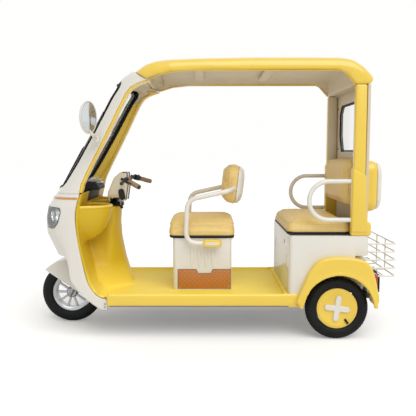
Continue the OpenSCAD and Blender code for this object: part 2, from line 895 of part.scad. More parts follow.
seat_rear_x = seat_x - seat_l;
seat_hinge = [seat_rear_x - 12, seat_z + 14];
pivot_x = (seat_x + seat_rear_x) / 2 - 67;
pivot_z = 617;
pivot_r = 8;
sleeve_in = 262;
sleeve_out = 304;
module front_seat_box() {
    color("#e9e6dc") {
        difference() {
            upright(seat_rear_x, seat_x, -seat_hw, seat_hw, floor_z, seat_z, 26);
            block(seat_rear_x + box_t, seat_x - box_t, -seat_hw + box_t, seat_hw - box_t, floor_z + box_t,
                seat_z + over);
            block(panel_x0 + 10, panel_x1 - 10, seat_hw - box_t - over, seat_hw + over, panel_z0 + 10,
                panel_z1 - 40);
        }
        for (s = [-1, 1]) {
            cross_rod(pivot_x, pivot_z, pivot_r, s > 0 ? seat_hw - box_t : -sleeve_out,
                s > 0 ? sleeve_out : box_t - seat_hw);
            cross_rod(pivot_x, pivot_z, 20, s > 0 ? seat_hw - over : 5 - sleeve_in,
                s > 0 ? sleeve_in - 5 : over - seat_hw);
        }
        for (y = [-120, 120]) {
            block(seat_hinge[0] - 8, seat_rear_x + over, y - 32, y - 20, seat_z - 30, seat_z + 22);
            cross_rod(seat_hinge[0], seat_hinge[1], hinge_r, y - 32, y + 24);
        }
    }
}

panel_x0 = -127;
panel_x1 = 235;
panel_z0 = 296;
panel_z1 = 428;
module access_panel() {
    color("#b5702a") {
        side_area([[panel_x0, panel_z0], [panel_x1, panel_z0], [panel_x1, panel_z1], [110, panel_z1],
            [96, panel_z1 - 27], [7, panel_z1 - 27], [-6, panel_z1], [panel_x0, panel_z1]],
            seat_hw, seat_hw + 5);
    }
}
module battery_block() {
    color("#333333") block(seat_rear_x + 25, seat_x - 25, -200, 200, floor_z + box_t, 500);
}

module bench_pan() {
    color("#191919") {
        difference() {
            block(-925, bench_x - 6, -bench_cushion_hw, bench_cushion_hw, bench_z, bench_z + pan_t);
            for (y = [-240, 240]) {
                block(-930, -905, y - 36, y + 30, bench_z - over, bench_z + pan_t + over);
            }
        }
        for (y = [-240, 240]) {
            difference() {
                union() {
                    cross_rod(bench_hinge[0], bench_hinge[1], knuckle_r, y - 16, y + 20);
                    block(bench_hinge[0], -900, y - 16, y + 20, bench_z + 8, bench_z + 20);
                }
                cross_rod(bench_hinge[0], bench_hinge[1], hinge_r + play, y - 40, y + 40);
            }
            block(-908, -898, y - 16, y + 20, bench_z + 2, bench_z + 20);
        }
    }
}
// upholstered block with soft edges
module cushion(x0, x1, hw, z0, z1) {
    loft([for (s = [[z0, 5], [z0 + 14, 0], [z1 - 26, 0], [z1 - 9, 9], [z1, 30]])
        ring_z(round_rect(along(x0) + s[1], along(x1) - s[1], s[1] - hw, hw - s[1], 45), s[0])]);
}
module bench_cushion() {
    color("#e0bd62") {
        difference() {
            cushion(-920, bench_x + 4, bench_cushion_hw, bench_z + pan_t, bench_cushion_z);
            for (y = [-240, 240]) {
                block(-921, -894, y - 40, y + 32, bench_z + pan_t - over, bench_z + 26);
            }
        }
    }
}
module front_seat_pan() {
    color("#191919") {
        difference() {
            block(seat_rear_x - 2, seat_x + 14, -seat_hw, seat_hw, seat_z, seat_z + pan_t);
            for (y = [-120, 120]) {
                block(seat_rear_x - 30, seat_rear_x + 4, y - 36, y + 30, seat_z - over, seat_z + pan_t + over);
            }
        }
        for (y = [-120, 120]) {
            difference() {
                union() {
                    cross_rod(seat_hinge[0], seat_hinge[1], knuckle_r, y - 16, y + 20);
                    block(seat_hinge[0], seat_rear_x + 20, y - 16, y + 20, seat_z + 8, seat_z + 20);
                }
                cross_rod(seat_hinge[0], seat_hinge[1], hinge_r + play, y - 40, y + 40);
            }
            block(seat_rear_x + 2, seat_rear_x + 20, y - 16, y + 20, seat_z + 2, seat_z + 20);
        }
    }
}
module front_cushion() {
    color("#e0bd62") {
        difference() {
            cushion(seat_rear_x - 22, seat_x + 27, 250, seat_z + pan_t, seat_cushion_z);
            for (y = [-120, 120]) {
                block(seat_rear_x - 30, seat_rear_x + 24, y - 40, y + 32, seat_z + pan_t - over, seat_z + 28);
            }
        }
    }
}

pad_hw = 210;
module backrest_arms() {
    color("#f1efe8") {
        both_sides() {
            difference() {
                union() {
                    tube([
                        [pivot_x + 30, arm_y, pivot_z], [183, arm_y, pivot_z], [183, arm_y, 887],
                        [-150, arm_y, 981], [-150, pad_hw, 981]
                    ], arm_r, 48);
                    side_area([[-66, 600], [-66, 634], [-50, 641], [50, 641], [66, 634], [66, 600], [50, 593],
                        [-50, 593]], sleeve_in, sleeve_out);
                }
                cross_rod(pivot_x, pivot_z, pivot_r + play, sleeve_in - 20, sleeve_out + 20);
            }
        }
    }
}
// padded front and moulded back of the front backrest, leaning
backrest_at = [-150, 0, 1008];
backrest_lean = 7;
backrest_h = 268;
function backrest_ring(x, inset) = ring_x(round_rect(inset - pad_hw, pad_hw - inset, inset - backrest_h / 2,
    backrest_h / 2 - inset, 75), x);
module backrest_pad() {
    color("#e6c04e") translate(at(backrest_at)) rotate([0, -backrest_lean, 0])
        loft([backrest_ring(-22, 0), backrest_ring(14, 0), backrest_ring(32, 10), backrest_ring(40, 30)]);
}
module backrest_shell() {
    color("#eceae2") translate(at(backrest_at)) rotate([0, -backrest_lean, 0])
        loft([backrest_ring(-62, 46), backrest_ring(-54, 24), backrest_ring(-40, 8), backrest_ring(-22, 2)]);
}

// fork, crown and stem
module fork() {
    color("#8d9092") {
        both_sides() {
            rod(on_axis(-30) + leg_shift(), on_axis(crown_s + 10) + leg_shift(), leg_r);
        }
        translate(on_axis(crown_s)) rotate([0, -rake, 0]) box(-35, 45, -leg_y - 20, leg_y + 20, -12, 16);
        rod(on_axis(crown_s), on_axis(stem_top), stem_r);
        cross_rod(drawn_front, front_axle_z, front_axle_r, -leg_y - 12, leg_y + 12);
    }
}
function leg_shift() = [fork_offset * cos(rake), leg_y, fork_offset * sin(rake)];

bar_path = [
    [480, -370, 1003], [592, -215, 1047], [640, -95, 1008],
    [640, 95, 1008], [592, 215, 1047], [480, 370, 1003]
];
// point on the left grip end of the bar, part of the way in from its tip
function on_grip(part) = at(bar_path[5]) + (at(bar_path[4]) - at(bar_path[5])) * part;
module handlebar() {
    color("#2a2a2a") {
        difference() {
            union() {
                tube(bar_path, bar_r, 50);
                translate(on_axis(780)) rotate([0, -rake, 0]) box(-5, 38, -60, 60, -30, 92);
            }
            rod(on_axis(600), on_axis(stem_top), stem_r);
        }
    }
}
cover_hw = 115;
module handlebar_cover() {
    color("#e3dcc6") {
        difference() {
            side_area([[735, 880], [732, 950], [690, 1050], [650, 1085], [602, 1085], [596, 1000], [612, 890]],
                -cover_hw, cover_hw);
            side_area([[720, 800], [720, 945], [680, 1040], [645, 1070], [615, 1070], [608, 1000], [625, 800]],
                15 - cover_hw, cover_hw - 15);
            both_sides() translate([along(500), 0, 0]) rotate([90, 0, 90]) linear_extrude(400)
                polygon([[70, 870], [cover_hw + over, 870], [cover_hw + over, 932]]);
            tube(bar_path, bar_r + 0.2, 50);
        }
    }
}
module grips() {
    color("#a08c74") {
        both_sides() {
            difference() {
                rod(on_grip(0), on_grip(0.68), grip_r);
                rod(on_grip(-1), on_grip(1), bar_r);
            }
        }
    }
}
// switch clusters and brake levers beside the grips
module switchgear() {
    color("#1c1c1c") {
        both_sides() {
            difference() {
                union() {
                    rod(on_grip(0.69), on_grip(0.93), 21);
                    rod(on_grip(0.8), on_grip(0.8) + [46, 10, 14], 9);
                    rod(on_grip(0.8) + [42, 8, 12], on_grip(0) + [52, 10, 22], 5);
                }
                rod(on_grip(-1), on_grip(1), bar_r + 0.05);
                tube(bar_path, bar_r + 0.05, 50);
            }
        }
    }
}
guard_line = [[1300, 470], [1163, 373], [965, 234], [840, 146], [700, 120], [700, 800], [1300, 800]];
module front_mudguard() {
    color("#e6e2d6") {
        difference() {
            intersection() {
                difference() {
                    cross_rod(drawn_front, front_axle_z, guard_r, -guard_hw, guard_hw);
                    cross_rod(drawn_front, front_axle_z, guard_r - 7, 6 - guard_hw, guard_hw - 6);
                }
                side_area(guard_line);
            }
            both_sides() rod(on_axis(0) + leg_shift(), on_axis(400) + leg_shift(), leg_r);
        }
    }
}
module wheel_frame(x, y, z) {
    translate([x, y, z]) rotate([-90, 0, 0]) children();
}
module tyre(d, w) {
    rotate_extrude() intersection() {
        translate([d / 2 - w / 2, 0]) circle(d = w);
        translate([bead_r, -w]) square([d, 2 * w]);
    }
}
module rim_barrel(w) {
    rotate_extrude() {
        translate([bead_r - 12, -w / 2]) square([12, w]);
        for (s = [-1, 1]) {
            translate([bead_r - 12, s * (w / 2 - 2.5) - 2.5]) square([8, 5]);
        }
    }
}
module front_rim() {
    color("#a9acae") wheel_frame(front_axle_x, 0, front_axle_z) {
        difference() {
            union() {
                rim_barrel(66);
                cylinder(r = 34, h = 90, center = true);
                for (i = [0:spokes - 1]) {
                    rotate([0, 0, 360 * i / spokes]) {
                        translate([26, -10, -13]) cube([40, 20, 26]);
                        translate([60, -17, -10]) cube([66, 9, 20]);
                        translate([60, 8, -10]) cube([66, 9, 20]);
                    }
                }
                translate([0, 0, 40]) cylinder(r = 84, h = 5);
            }
            cylinder(r = front_axle_r + play, h = 200, center = true);
        }
    }
}
module front_tyre() {
    color("#1f1f1f") wheel_frame(front_axle_x, 0, front_axle_z) tyre(front_tyre_d, front_tyre_w);
}
disc_r = 129;
module rear_rim(side) {
    color("#ecd052") wheel_frame(rear_axle_x, side * wheel_y, rear_axle_z) rotate([side > 0 ? 0 : 180, 0, 0]) {
        difference() {
            union() {
                rim_barrel(60);
                rotate_extrude() polygon([[0, 18], [bead_r - 6, 18], [bead_r - 6, 26], [disc_r - 4, 31],
                    [disc_r - 14, 33], [disc_r - 24, 30], [0, 30]]);
                translate([0, 0, -30]) cylinder(r = 40, h = 60);
            }
            translate([0, 0, -60]) cylinder(r = rear_axle_r + play, h = 85.1);
        }
    }
}
module rear_tyre(side) {
    color("#1f1f1f") wheel_frame(rear_axle_x, side * wheel_y, rear_axle_z) tyre(rear_tyre_d, rear_tyre_w);
}
module rear_rim_left() {
    rear_rim(1);
}
module rear_tyre_left() {
    rear_tyre(1);
}
module rear_rim_right() {
    rear_rim(-1);
}
module rear_tyre_right() {
    rear_tyre(-1);
}

chassis_frame();
rear_axle();
floor_pan();
front_fairing();
leg_shield();
windscreen_frame();
pillar_trim();
window_seals();
glazing();
wiper();
headlamps();
instrument_pod();
mirrors();
roof_shell();
roof_lining();
rear_pillars();
rear_wall();
rear_pad();
rear_cap_body();
rear_cap();
grab_rails();
bench_box();
rear_fenders();
tail_lamps();
basket();
plate_bracket();
front_seat_box();
access_panel();
battery_block();
bench_pan();
bench_cushion();
front_seat_pan();
front_cushion();
backrest_arms();
backrest_pad();
backrest_shell();
fork();
handlebar();
handlebar_cover();
switchgear();
grips();
front_mudguard();
front_rim();
front_tyre();
rear_rim_left();
rear_tyre_left();
rear_rim_right();
rear_tyre_right();
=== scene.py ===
import json
import math
from contextlib import contextmanager

import bpy
from mathutils import Matrix, Vector

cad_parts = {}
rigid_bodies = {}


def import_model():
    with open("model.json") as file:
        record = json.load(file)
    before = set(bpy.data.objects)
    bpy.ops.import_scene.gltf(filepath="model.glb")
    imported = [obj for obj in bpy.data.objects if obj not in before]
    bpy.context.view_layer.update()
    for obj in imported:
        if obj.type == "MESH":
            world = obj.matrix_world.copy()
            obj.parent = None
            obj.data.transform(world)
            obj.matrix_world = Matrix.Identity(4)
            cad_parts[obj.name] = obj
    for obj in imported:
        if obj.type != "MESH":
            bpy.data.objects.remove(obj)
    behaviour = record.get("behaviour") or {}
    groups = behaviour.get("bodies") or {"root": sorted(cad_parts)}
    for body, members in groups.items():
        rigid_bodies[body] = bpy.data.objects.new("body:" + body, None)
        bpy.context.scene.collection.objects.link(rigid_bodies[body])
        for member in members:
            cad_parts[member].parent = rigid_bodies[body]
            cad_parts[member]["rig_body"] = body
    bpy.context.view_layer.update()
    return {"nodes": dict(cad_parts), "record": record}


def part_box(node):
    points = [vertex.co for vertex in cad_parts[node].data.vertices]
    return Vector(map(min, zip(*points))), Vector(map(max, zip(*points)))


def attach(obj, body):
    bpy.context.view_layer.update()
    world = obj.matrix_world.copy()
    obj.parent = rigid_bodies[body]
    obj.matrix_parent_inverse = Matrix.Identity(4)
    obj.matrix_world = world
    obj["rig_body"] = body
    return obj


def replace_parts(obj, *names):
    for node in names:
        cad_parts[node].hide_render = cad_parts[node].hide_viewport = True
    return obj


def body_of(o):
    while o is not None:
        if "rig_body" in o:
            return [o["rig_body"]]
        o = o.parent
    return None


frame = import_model()
bpy.ops.object.select_all(action="DESELECT")


# Chassis, axle and fork: welded steel tube below the floor, a beam axle on leaf springs
# and a plain fork. The frame is powder coated black, which leaves a fine orange peel,
# and the fork is zinc plated.
nodes = frame["nodes"]
bodies_of = {n: body for body, names in frame["record"]["behaviour"]["bodies"].items() for n in names}


class Field:
    """A value in a material's nodes; sums of fields add the nodes that work them out."""

    def __init__(self, tree, socket):
        self.tree = tree
        self.socket = socket

    def node(self, kind, inputs, output=0, **settings):
        made = self.tree.nodes.new("ShaderNode" + kind)
        for name, value in settings.items():
            setattr(made, name, value)
        for key, value in inputs.items():
            if isinstance(value, Field):
                self.tree.links.new(value.socket, made.inputs[key])
            else:
                made.inputs[key].default_value = value
        return Field(self.tree, made.outputs[output])

    def math(self, operation, first, second):
        return self.node("Math", {0: first, 1: second}, operation=operation)

    def __add__(self, other):
        return self.math("ADD", self, other)

    def __sub__(self, other):
        return self.math("SUBTRACT", self, other)

    def __rsub__(self, other):
        return self.math("SUBTRACT", other, self)

    def __mul__(self, other):
        return self.math("MULTIPLY", self, other)

    def __lt__(self, other):
        return self.math("LESS_THAN", self, other)

    __radd__ = __add__
    __rmul__ = __mul__


def linear(code):
    """A screen colour such as e6e2d6 as the numbers that a shader takes."""
    parts = [int(code[i:i + 2], 16) / 255 for i in (0, 2, 4)]
    return tuple(c / 12.92 if c <= 0.04045 else ((c + 0.055) / 1.055) ** 2.4 for c in parts) + (1.0,)


def shade(code, factor):
    return tuple(c * factor for c in linear(code)[:3]) + (1.0,)


class Finish:
    """A new material with its shader and the place of each point on the piece."""

    def __init__(self, name, **constants):
        self.material = bpy.data.materials.new(name)
        self.material.use_nodes = True
        self.tree = self.material.node_tree
        self.shader = self.tree.nodes["Principled BSDF"]
        self.place = Field(self.tree, self.tree.nodes.new("ShaderNodeTexCoord").outputs["Object"])
        for socket, value in constants.items():
            self.shader.inputs[socket.replace("_", " ")].default_value = value

    def feed(self, socket, field):
        self.tree.links.new(field.socket, self.shader.inputs[socket])
        return self

    def noise(self, scale, detail=3.0, roughness=0.5):
        return self.place.node("TexNoise", {"Vector": self.place, "Scale": scale, "Detail": detail,
                                            "Roughness": roughness})

    def cells(self, scale):
        return self.place.node("TexVoronoi", {"Vector": self.place, "Scale": scale})

    def mix(self, factor, first, second):
        return factor.node("Mix", {0: factor, 6: first, 7: second}, 2, data_type="RGBA")

    def tones(self, factor, first, second):
        return self.feed("Base Color", self.mix(factor, linear(first), linear(second)))

    def bump(self, height, strength, distance):
        rough = height.node("Bump", {"Strength": strength, "Distance": distance, "Height": height})
        return self.feed("Normal", rough)


def coated_steel(name, code, roughness):
    coat = Finish(name, Metallic=0.0, Coat_Weight=0.25, Coat_Roughness=0.25)
    cloud = coat.noise(14)
    coat.feed("Base Color", coat.mix(cloud, shade(code, 0.88), shade(code, 1.08)))
    coat.feed("Roughness", roughness + 0.18 * (coat.noise(90) - 0.5))
    return coat.bump(coat.noise(700, 2.0), 0.25, 0.0006).material


black_coat = coated_steel("black_powder_coat", "1b1c1e", 0.45)
zinc = Finish("zinc_plate", Metallic=1.0)
zinc.tones(zinc.noise(35), "8f9296", "b3b6b8")
zinc.feed("Roughness", 0.3 + 0.2 * (zinc.noise(120) - 0.5))
zinc.bump(zinc.noise(500, 2.0), 0.15, 0.0004)


def solo(piece):
    """Selects one piece alone and makes it the active one."""
    bpy.ops.object.select_all(action="DESELECT")
    piece.select_set(True)
    bpy.context.view_layer.objects.active = piece


def modify(piece, kind, **settings):
    solo(piece)
    made = piece.modifiers.new(kind.lower(), kind)
    for name, value in settings.items():
        setattr(made, name, value)
    bpy.ops.object.modifier_apply(modifier=made.name)
    return piece


@contextmanager
def editing(kind=None):
    """Edit mode on the active piece: all of it is selected, or its chosen faces or edges stay so."""
    bpy.ops.object.mode_set(mode="EDIT")
    if kind:
        bpy.ops.mesh.select_mode(type=kind)
    else:
        bpy.ops.mesh.select_all(action="SELECT")
    yield
    bpy.ops.object.mode_set(mode="OBJECT")


def join_copies(name, names):
    """One mesh from copies of CAD nodes, with their loose triangles joined up."""
    bpy.ops.object.select_all(action="DESELECT")
    for node_name in names:
        piece = bpy.data.objects.new(name, nodes[node_name].data.copy())
        bpy.context.collection.objects.link(piece)
        piece.select_set(True)
        bpy.context.view_layer.objects.active = piece
    if len(names) > 1:
        bpy.ops.object.join()
    piece = bpy.context.active_object
    piece.name = name
    with editing():
        bpy.ops.mesh.remove_doubles(threshold=0.00002)
    return piece


def apply_transform():
    """Writes the selected piece's place, turn and scale into its mesh."""
    bpy.ops.object.transform_apply(location=True, rotation=True, scale=True)


def settle(piece, body, material):
    """Leaves a finished piece at the origin, with its finish, moving with its body."""
    solo(piece)
    apply_transform()
    piece.data.materials.clear()
    piece.data.materials.append(material)
    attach(piece, body)
    return piece


def smooth_below(degrees):
    """Shades the selected piece smooth, apart from edges sharper than this."""
    bpy.ops.object.shade_smooth_by_angle(angle=math.radians(degrees))


def crisp(node_name, material, radius=0.002, angle=32):
    """A CAD node's copy with small rounded edges and smooth curves, that stands for the node."""
    piece = join_copies(node_name + "_piece", [node_name])
    with editing():
        bpy.ops.mesh.dissolve_limited(angle_limit=math.radians(0.6))
    modify(piece, "BEVEL", width=radius, segments=2, limit_method="ANGLE", angle_limit=math.radians(40))
    solo(piece)
    smooth_below(angle)
    settle(piece, bodies_of[node_name], material)
    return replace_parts(piece, node_name)


for part, finish, slot in (("chassis_frame", black_coat, "frame_steel"),
                           ("rear_axle", black_coat, "frame_steel"),
                           ("fork", zinc.material, "bright_steel"),
                           ("handlebar", black_coat, "frame_steel")):
    crisp(part, finish, 0.0015)


# Tub: the floor tray, leg shield and rear fenders flow into each other on the vehicle.
# They are glossy moulded plastic in one yellow, so one soft skin stands for all three.
# The floor is matt, with painted light: a lighter yellow than the body, where the roof's shade falls. The
# leg shield has painted shade, a deeper yellow from the floor up, and the underside is painted grey as
# shade under the tub.
yellow_code = "f1ce4a"


def moulding(name, code, roughness=0.3, coat=0.5, grain=0.12, shine=0.5):
    gloss = Finish(name, Coat_Weight=coat, Coat_Roughness=0.12, Specular_IOR_Level=shine)
    cloud = gloss.noise(2.5, 2.0)
    gloss.feed("Base Color", gloss.mix(cloud, shade(code, 0.94), shade(code, 1.03)))
    gloss.feed("Roughness", roughness + 0.12 * (gloss.noise(30) - 0.5))
    return gloss.bump(gloss.noise(260, 2.0) + 0.4 * gloss.noise(18, 2.0), grain, 0.0009).material


yellow = moulding("yellow_moulding", yellow_code)


def skin(name, names, voxel, passes, material, keep=1.0, firm=None):
    """Joins copies of CAD panels and softens their edges, as a mould does; it stands for them.
    firm says which points are left as sharp as they are."""
    piece = join_copies(name, names)
    modify(piece, "REMESH", mode="VOXEL", voxel_size=voxel)
    soft = piece.vertex_groups.new(name="soft")
    soft.add([v.index for v in piece.data.vertices if firm is None or not firm(v.co)], 1.0, "REPLACE")
    modify(piece, "SMOOTH", factor=0.5, iterations=passes, vertex_group="soft")
    piece.vertex_groups.clear()
    if keep < 1:
        modify(piece, "DECIMATE", ratio=keep)
    solo(piece)
    bpy.ops.object.shade_smooth()
    settle(piece, bodies_of[names[0]], material)
    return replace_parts(piece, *names)


def two_tone(piece, second, chosen):
    """Gives some of a piece's faces a second finish."""
    piece.data.materials.append(second)
    for face in piece.data.polygons:
        if chosen(face):
            face.material_index = len(piece.data.materials) - 1


sill_in, sill_top, sill_front, sill_back = 0.30, 0.33, 0.66, -0.46


def sill_ends(co):
    return abs(co.y) > sill_in and co.z < sill_top and (co.x > sill_front or co.x < sill_back)


tub_panels = ["floor_pan", "leg_shield", "rear_fenders"]
tub = skin("tub", tub_panels, 0.008, 14, yellow, 0.6, sill_ends)
pocket_at, pocket_r, pocket_edge = Vector((0.884, 0.262, 0.872)), (0.201, 0.143), 1.18
bowl_foot, bowl_fade, bowl_deeper = 0.712, 0.44, 0.095
for vertex in tub.data.vertices:
    x, y, z = vertex.co
    out = math.hypot((x - pocket_at.x) / pocket_r[0], (abs(y) - pocket_at.y) / pocket_r[1])
    if out < pocket_edge and x < pocket_at.x and bowl_fade < z < pocket_at.z:
        above = (pocket_at.z - z) / (pocket_at.z - bowl_foot)
        below = (z - bowl_fade) / (bowl_foot - bowl_fade)
        fade = min(1.0, (pocket_edge - out) / (pocket_edge - 1))
        vertex.co.z -= bowl_deeper * min(above, below) * fade
modify(tub, "SMOOTH", factor=0.4, iterations=2)
bpy.ops.object.shade_smooth()
# Painted shade: the downward faces under the tub are grey instead of yellow, so the shadow on the floor
# below stays neutral.
underside_shade = coated_steel("grey_underside_painted_shade", "6a6a68", 0.7)
two_tone(tub, underside_shade, lambda face: face.normal.z < -0.6 and face.center.z < 0.30)
# Painted light: the floor's yellow is lighter than the body's, to make up for the light that the roof
# keeps off.
floor_lit_code, shield_shade_code, shield_foot, shade_full_at = "ffe35a", "d8b522", 0.29, 0.47
lit_floor_yellow = moulding("yellow_floor_painted_light", floor_lit_code, 0.55, 0.0, 0.2, 0.3)
two_tone(tub, lit_floor_yellow, lambda face: face.normal.z > 0.75 and face.center.z < 0.315)
# Painted shade: the leg shield is a deeper yellow, which fades in from the floor's lighter yellow as the
# height rises.
shield_shade_yellow = Finish("yellow_shield_painted_shade", Specular_IOR_Level=0.3, Coat_Weight=0.08, Coat_Roughness=0.2)
height = shield_shade_yellow.place.node("SeparateXYZ", {0: shield_shade_yellow.place}, 2)
shade_ramp = height.node("MapRange", {0: height, 1: shield_foot, 2: shade_full_at})
cloud = shield_shade_yellow.mix(shield_shade_yellow.noise(2.5, 2.0), shade(shield_shade_code, 0.95), shade(shield_shade_code, 1.03))
shield_shade_yellow.feed("Base Color", shield_shade_yellow.mix(shade_ramp, shade(floor_lit_code, 0.97), cloud))
shield_shade_yellow.feed("Roughness", 0.55 - 0.15 * shade_ramp)
shield_shade_yellow.bump(shield_shade_yellow.noise(260, 2.0), 0.12, 0.0009)


shield_back, shield_hw, shield_low, shield_clear = 0.54, 0.40, 0.288, 0.32


def shield_face(face):
    """The leg shield down to the floor, without the sills beside it; these faces get the painted shade."""
    inner = abs(face.center.y) < shield_hw and face.center.z > shield_low and face.material_index == 0
    return face.center.x > shield_back and (face.center.z > shield_clear or inner)


two_tone(tub, shield_shade_yellow.material, shield_face)


def rounded_path(corners, radius, closed=False, steps=8):
    """Points along straight runs that are joined by bends of one radius."""
    points = []
    for i, corner in enumerate(corners):
        corner = Vector(corner)
        if not closed and i in (0, len(corners) - 1):
            points.append(corner)
            continue
        back = Vector(corners[i - 1]) - corner
        ahead = Vector(corners[(i + 1) % len(corners)]) - corner
        reach = min(radius / math.tan(back.angle(ahead) / 2), back.length * 0.49, ahead.length * 0.49)
        start, end = corner + back.normalized() * reach, corner + ahead.normalized() * reach
        for k in range(steps + 1):
            points.append(start.lerp(corner, k / steps).lerp(corner.lerp(end, k / steps), k / steps))
    return points


def fresh(add, **settings):
    """A new primitive to start a piece from, selected alone."""
    bpy.ops.object.select_all(action="DESELECT")
    add(**settings)
    return bpy.context.active_object


def tube(name, points, radius, closed=False):
    """A round rod bent along a row of points."""
    rod = fresh(bpy.ops.mesh.primitive_circle_add, vertices=len(points))
    for vertex, point in zip(rod.data.vertices, points):
        vertex.co = point
    if not closed:
        ends = {0, len(points) - 1}
        for vertex in rod.data.vertices:
            vertex.select = vertex.index in ends
        for edge in rod.data.edges:
            edge.select = set(edge.vertices) == ends
        with editing("EDGE"):
            bpy.ops.mesh.delete(type="EDGE")
    bpy.ops.object.convert(target="CURVE")
    rod = bpy.context.active_object
    rod.data.bevel_depth = radius
    rod.data.bevel_resolution = 4
    rod.data.use_fill_caps = True
    bpy.ops.object.convert(target="MESH")
    rod = bpy.context.active_object
    rod.name = name
    smooth_below(50)
    return rod


def duplicate(piece, move=Matrix()):
    """A copy of a piece with its own mesh, moved where a matrix is given."""
    copy = piece.copy()
    copy.data = piece.data.copy()
    copy.data.transform(move)
    bpy.context.collection.objects.link(copy)
    return copy


def mirrored(left):
    """A copy of a left piece for the right side, with its faces outward."""
    solo(left)
    apply_transform()
    right = duplicate(left, Matrix.Scale(-1, 4, (0, 1, 0)))
    right.data.flip_normals()
    return right


def settle_pair(left, name, body, material):
    """Settles a left piece and its mirrored copy; {} in the body stands for the side."""
    for piece, word in ((left, "left"), (mirrored(left), "right")):
        piece.name = f"{name}_{word}"
        settle(piece, body.format(word), material)


def bar(name, place, size, edge):
    """A moulded bar: a block with rounded edges."""
    block = fresh(bpy.ops.mesh.primitive_cube_add, size=1.0, location=place)
    block.name = name
    block.scale = size
    apply_transform()
    modify(block, "BEVEL", width=edge, segments=3)
    smooth_below(40)
    return block


lip_r = 0.010
pocket_arc = [(pocket_at.x - pocket_r[0] * math.sin(math.pi * k / 24),
               pocket_at.y - pocket_r[1] * math.cos(math.pi * k / 24), pocket_at.z) for k in range(25)]
settle_pair(tube("pocket_lip", pocket_arc, lip_r), "pocket_lip", "body", yellow)

heel = bar("floor_heel_strip", (-0.490, 0.0, 0.2915), (0.028, 0.84, 0.028), 0.005)
settle(heel, "body", lit_floor_yellow)
sill_end = bar("sill_end", (-0.540, 0.4255, 0.246), (0.090, 0.046, 0.058), 0.012)
settle_pair(sill_end, "sill_end", "body", yellow)

axle_at, lip_inner, lip_outer, lip_y, lip_out = (-0.822, 0.207), 0.231, 0.256, 0.484, 0.010
arch = fresh(bpy.ops.mesh.primitive_circle_add, vertices=12, radius=1.0)
for vertex in arch.data.vertices:
    radius = (lip_inner + lip_outer) / 2 + vertex.co.x * (lip_outer - lip_inner) / 2
    vertex.co = (radius, lip_y + vertex.co.y * lip_out, 0)
with editing():
    bpy.ops.mesh.spin(steps=48, angle=math.radians(172), center=(0, 0, 0), axis=(0, 1, 0))
    bpy.ops.mesh.select_all(action="SELECT")
    bpy.ops.mesh.normals_make_consistent(inside=False)
arch.rotation_euler = (0, math.radians(-4), 0)
arch.location = (axle_at[0], 0, axle_at[1])
bpy.ops.object.shade_smooth()
settle_pair(arch, "arch_lip", "body", yellow)


# Nose and windscreen frame: glossy white mouldings, clipped to the tub along the yellow lip.
# An amber reflector band runs round the belt, where the two mouldings meet.
white_code = "e5e1d7"
white = moulding("white_moulding", white_code)
nose_skin = skin("nose_skin", ["front_fairing"], 0.006, 6, white, 0.6,
                 lambda co: co.x < 0.74 and co.z < 0.34)
chin_top, chin_slope, chin_start, chin_run = 0.69, 0.42, 0.92, 0.14
for vertex in nose_skin.data.vertices:
    drop = max(0.0, chin_top - vertex.co.z)
    ahead = min(1.0, max(0.0, (vertex.co.x - chin_start) / chin_run))
    vertex.co.x -= drop * chin_slope * ahead * ahead * (3 - 2 * ahead)
frame_skin = skin("screen_frame", ["windscreen_frame"], 0.006, 6, white, 0.6)
two_tone(frame_skin, yellow, lambda face: face.normal.x < -0.3 or face.normal.y * face.center.y < -0.1)
skin("pillar_skin", ["pillar_trim"], 0.005, 3, yellow, 0.6)

band_low, band_high, band_t = 0.926, 0.938, 0.0035
amber = Finish("amber_reflector", Coat_Weight=0.8, Coat_Roughness=0.05, Roughness=0.25)
prism = amber.cells(420)
amber.tones(prism, "b8661a", "e09a3a")
amber.bump(prism, 0.5, 0.0008)


def keep_side(piece, point, normal):
    """Cuts a mesh by a plane and keeps what lies on the normal's far side."""
    solo(piece)
    with editing():
        bpy.ops.mesh.bisect(plane_co=point, plane_no=normal, clear_inner=True)


def delete_faces(piece, unwanted):
    solo(piece)
    for face in piece.data.polygons:
        face.select = unwanted(face)
    with editing("FACE"):
        bpy.ops.mesh.delete(type="FACE")


band = join_copies("amber_band", ["front_fairing"])
keep_side(band, (0, 0, band_low), (0, 0, 1))
keep_side(band, (0, 0, band_high), (0, 0, -1))
keep_side(band, (0.875, 0, 0), (1, 0, 0))
nose_middle = Vector((0.72, 0, 0))


def faces_inward(face):
    outward = (face.center - nose_middle) * Vector((1, 1, 0))
    return face.normal.dot(outward.normalized()) < 0.3


delete_faces(band, faces_inward)
modify(band, "SOLIDIFY", thickness=band_t, offset=1.0)
modify(band, "BEVEL", width=0.0008, segments=2, limit_method="ANGLE")
settle(band, "body", amber.material)


# Glass: a bent windscreen and a flat rear pane, each in a black rubber seal.
# The single wiper is black painted steel with a rubber blade.
pane = Finish("clear_glass", Roughness=0.03, Alpha=0.16, Coat_Weight=0.6, Coat_Roughness=0.02)
pane.tones(pane.noise(3), "dfe9ea", "eef3f3")


def dress(node_name, material):
    """Gives a CAD node that shows as it is its finish."""
    nodes[node_name].data.materials.clear()
    nodes[node_name].data.materials.append(material)


dress("glazing", pane.material)


def rubber(name, code, roughness):
    soft = Finish(name, Specular_IOR_Level=0.25)
    soft.feed("Base Color", soft.mix(soft.noise(25), shade(code, 0.8), shade(code, 1.2)))
    soft.feed("Roughness", roughness + 0.15 * (soft.noise(60) - 0.5))
    return soft.bump(soft.noise(900, 2.0), 0.3, 0.0005).material


seal_rubber = rubber("seal_rubber", "17181a", 0.5)
seal_piece = crisp("window_seals", seal_rubber, 0.0015)
solo(seal_piece)
with editing():
    bpy.ops.transform.shrink_fatten(value=-0.0035)
grained = Finish("grained_black", Specular_IOR_Level=0.4)
grain_cells = grained.cells(620)
grained.tones(grained.noise(12), "151618", "232427")
grained.feed("Roughness", 0.45 + 0.25 * grain_cells)
grained.bump(grain_cells, 0.25, 0.0006)
crisp("wiper", grained.material, 0.002)


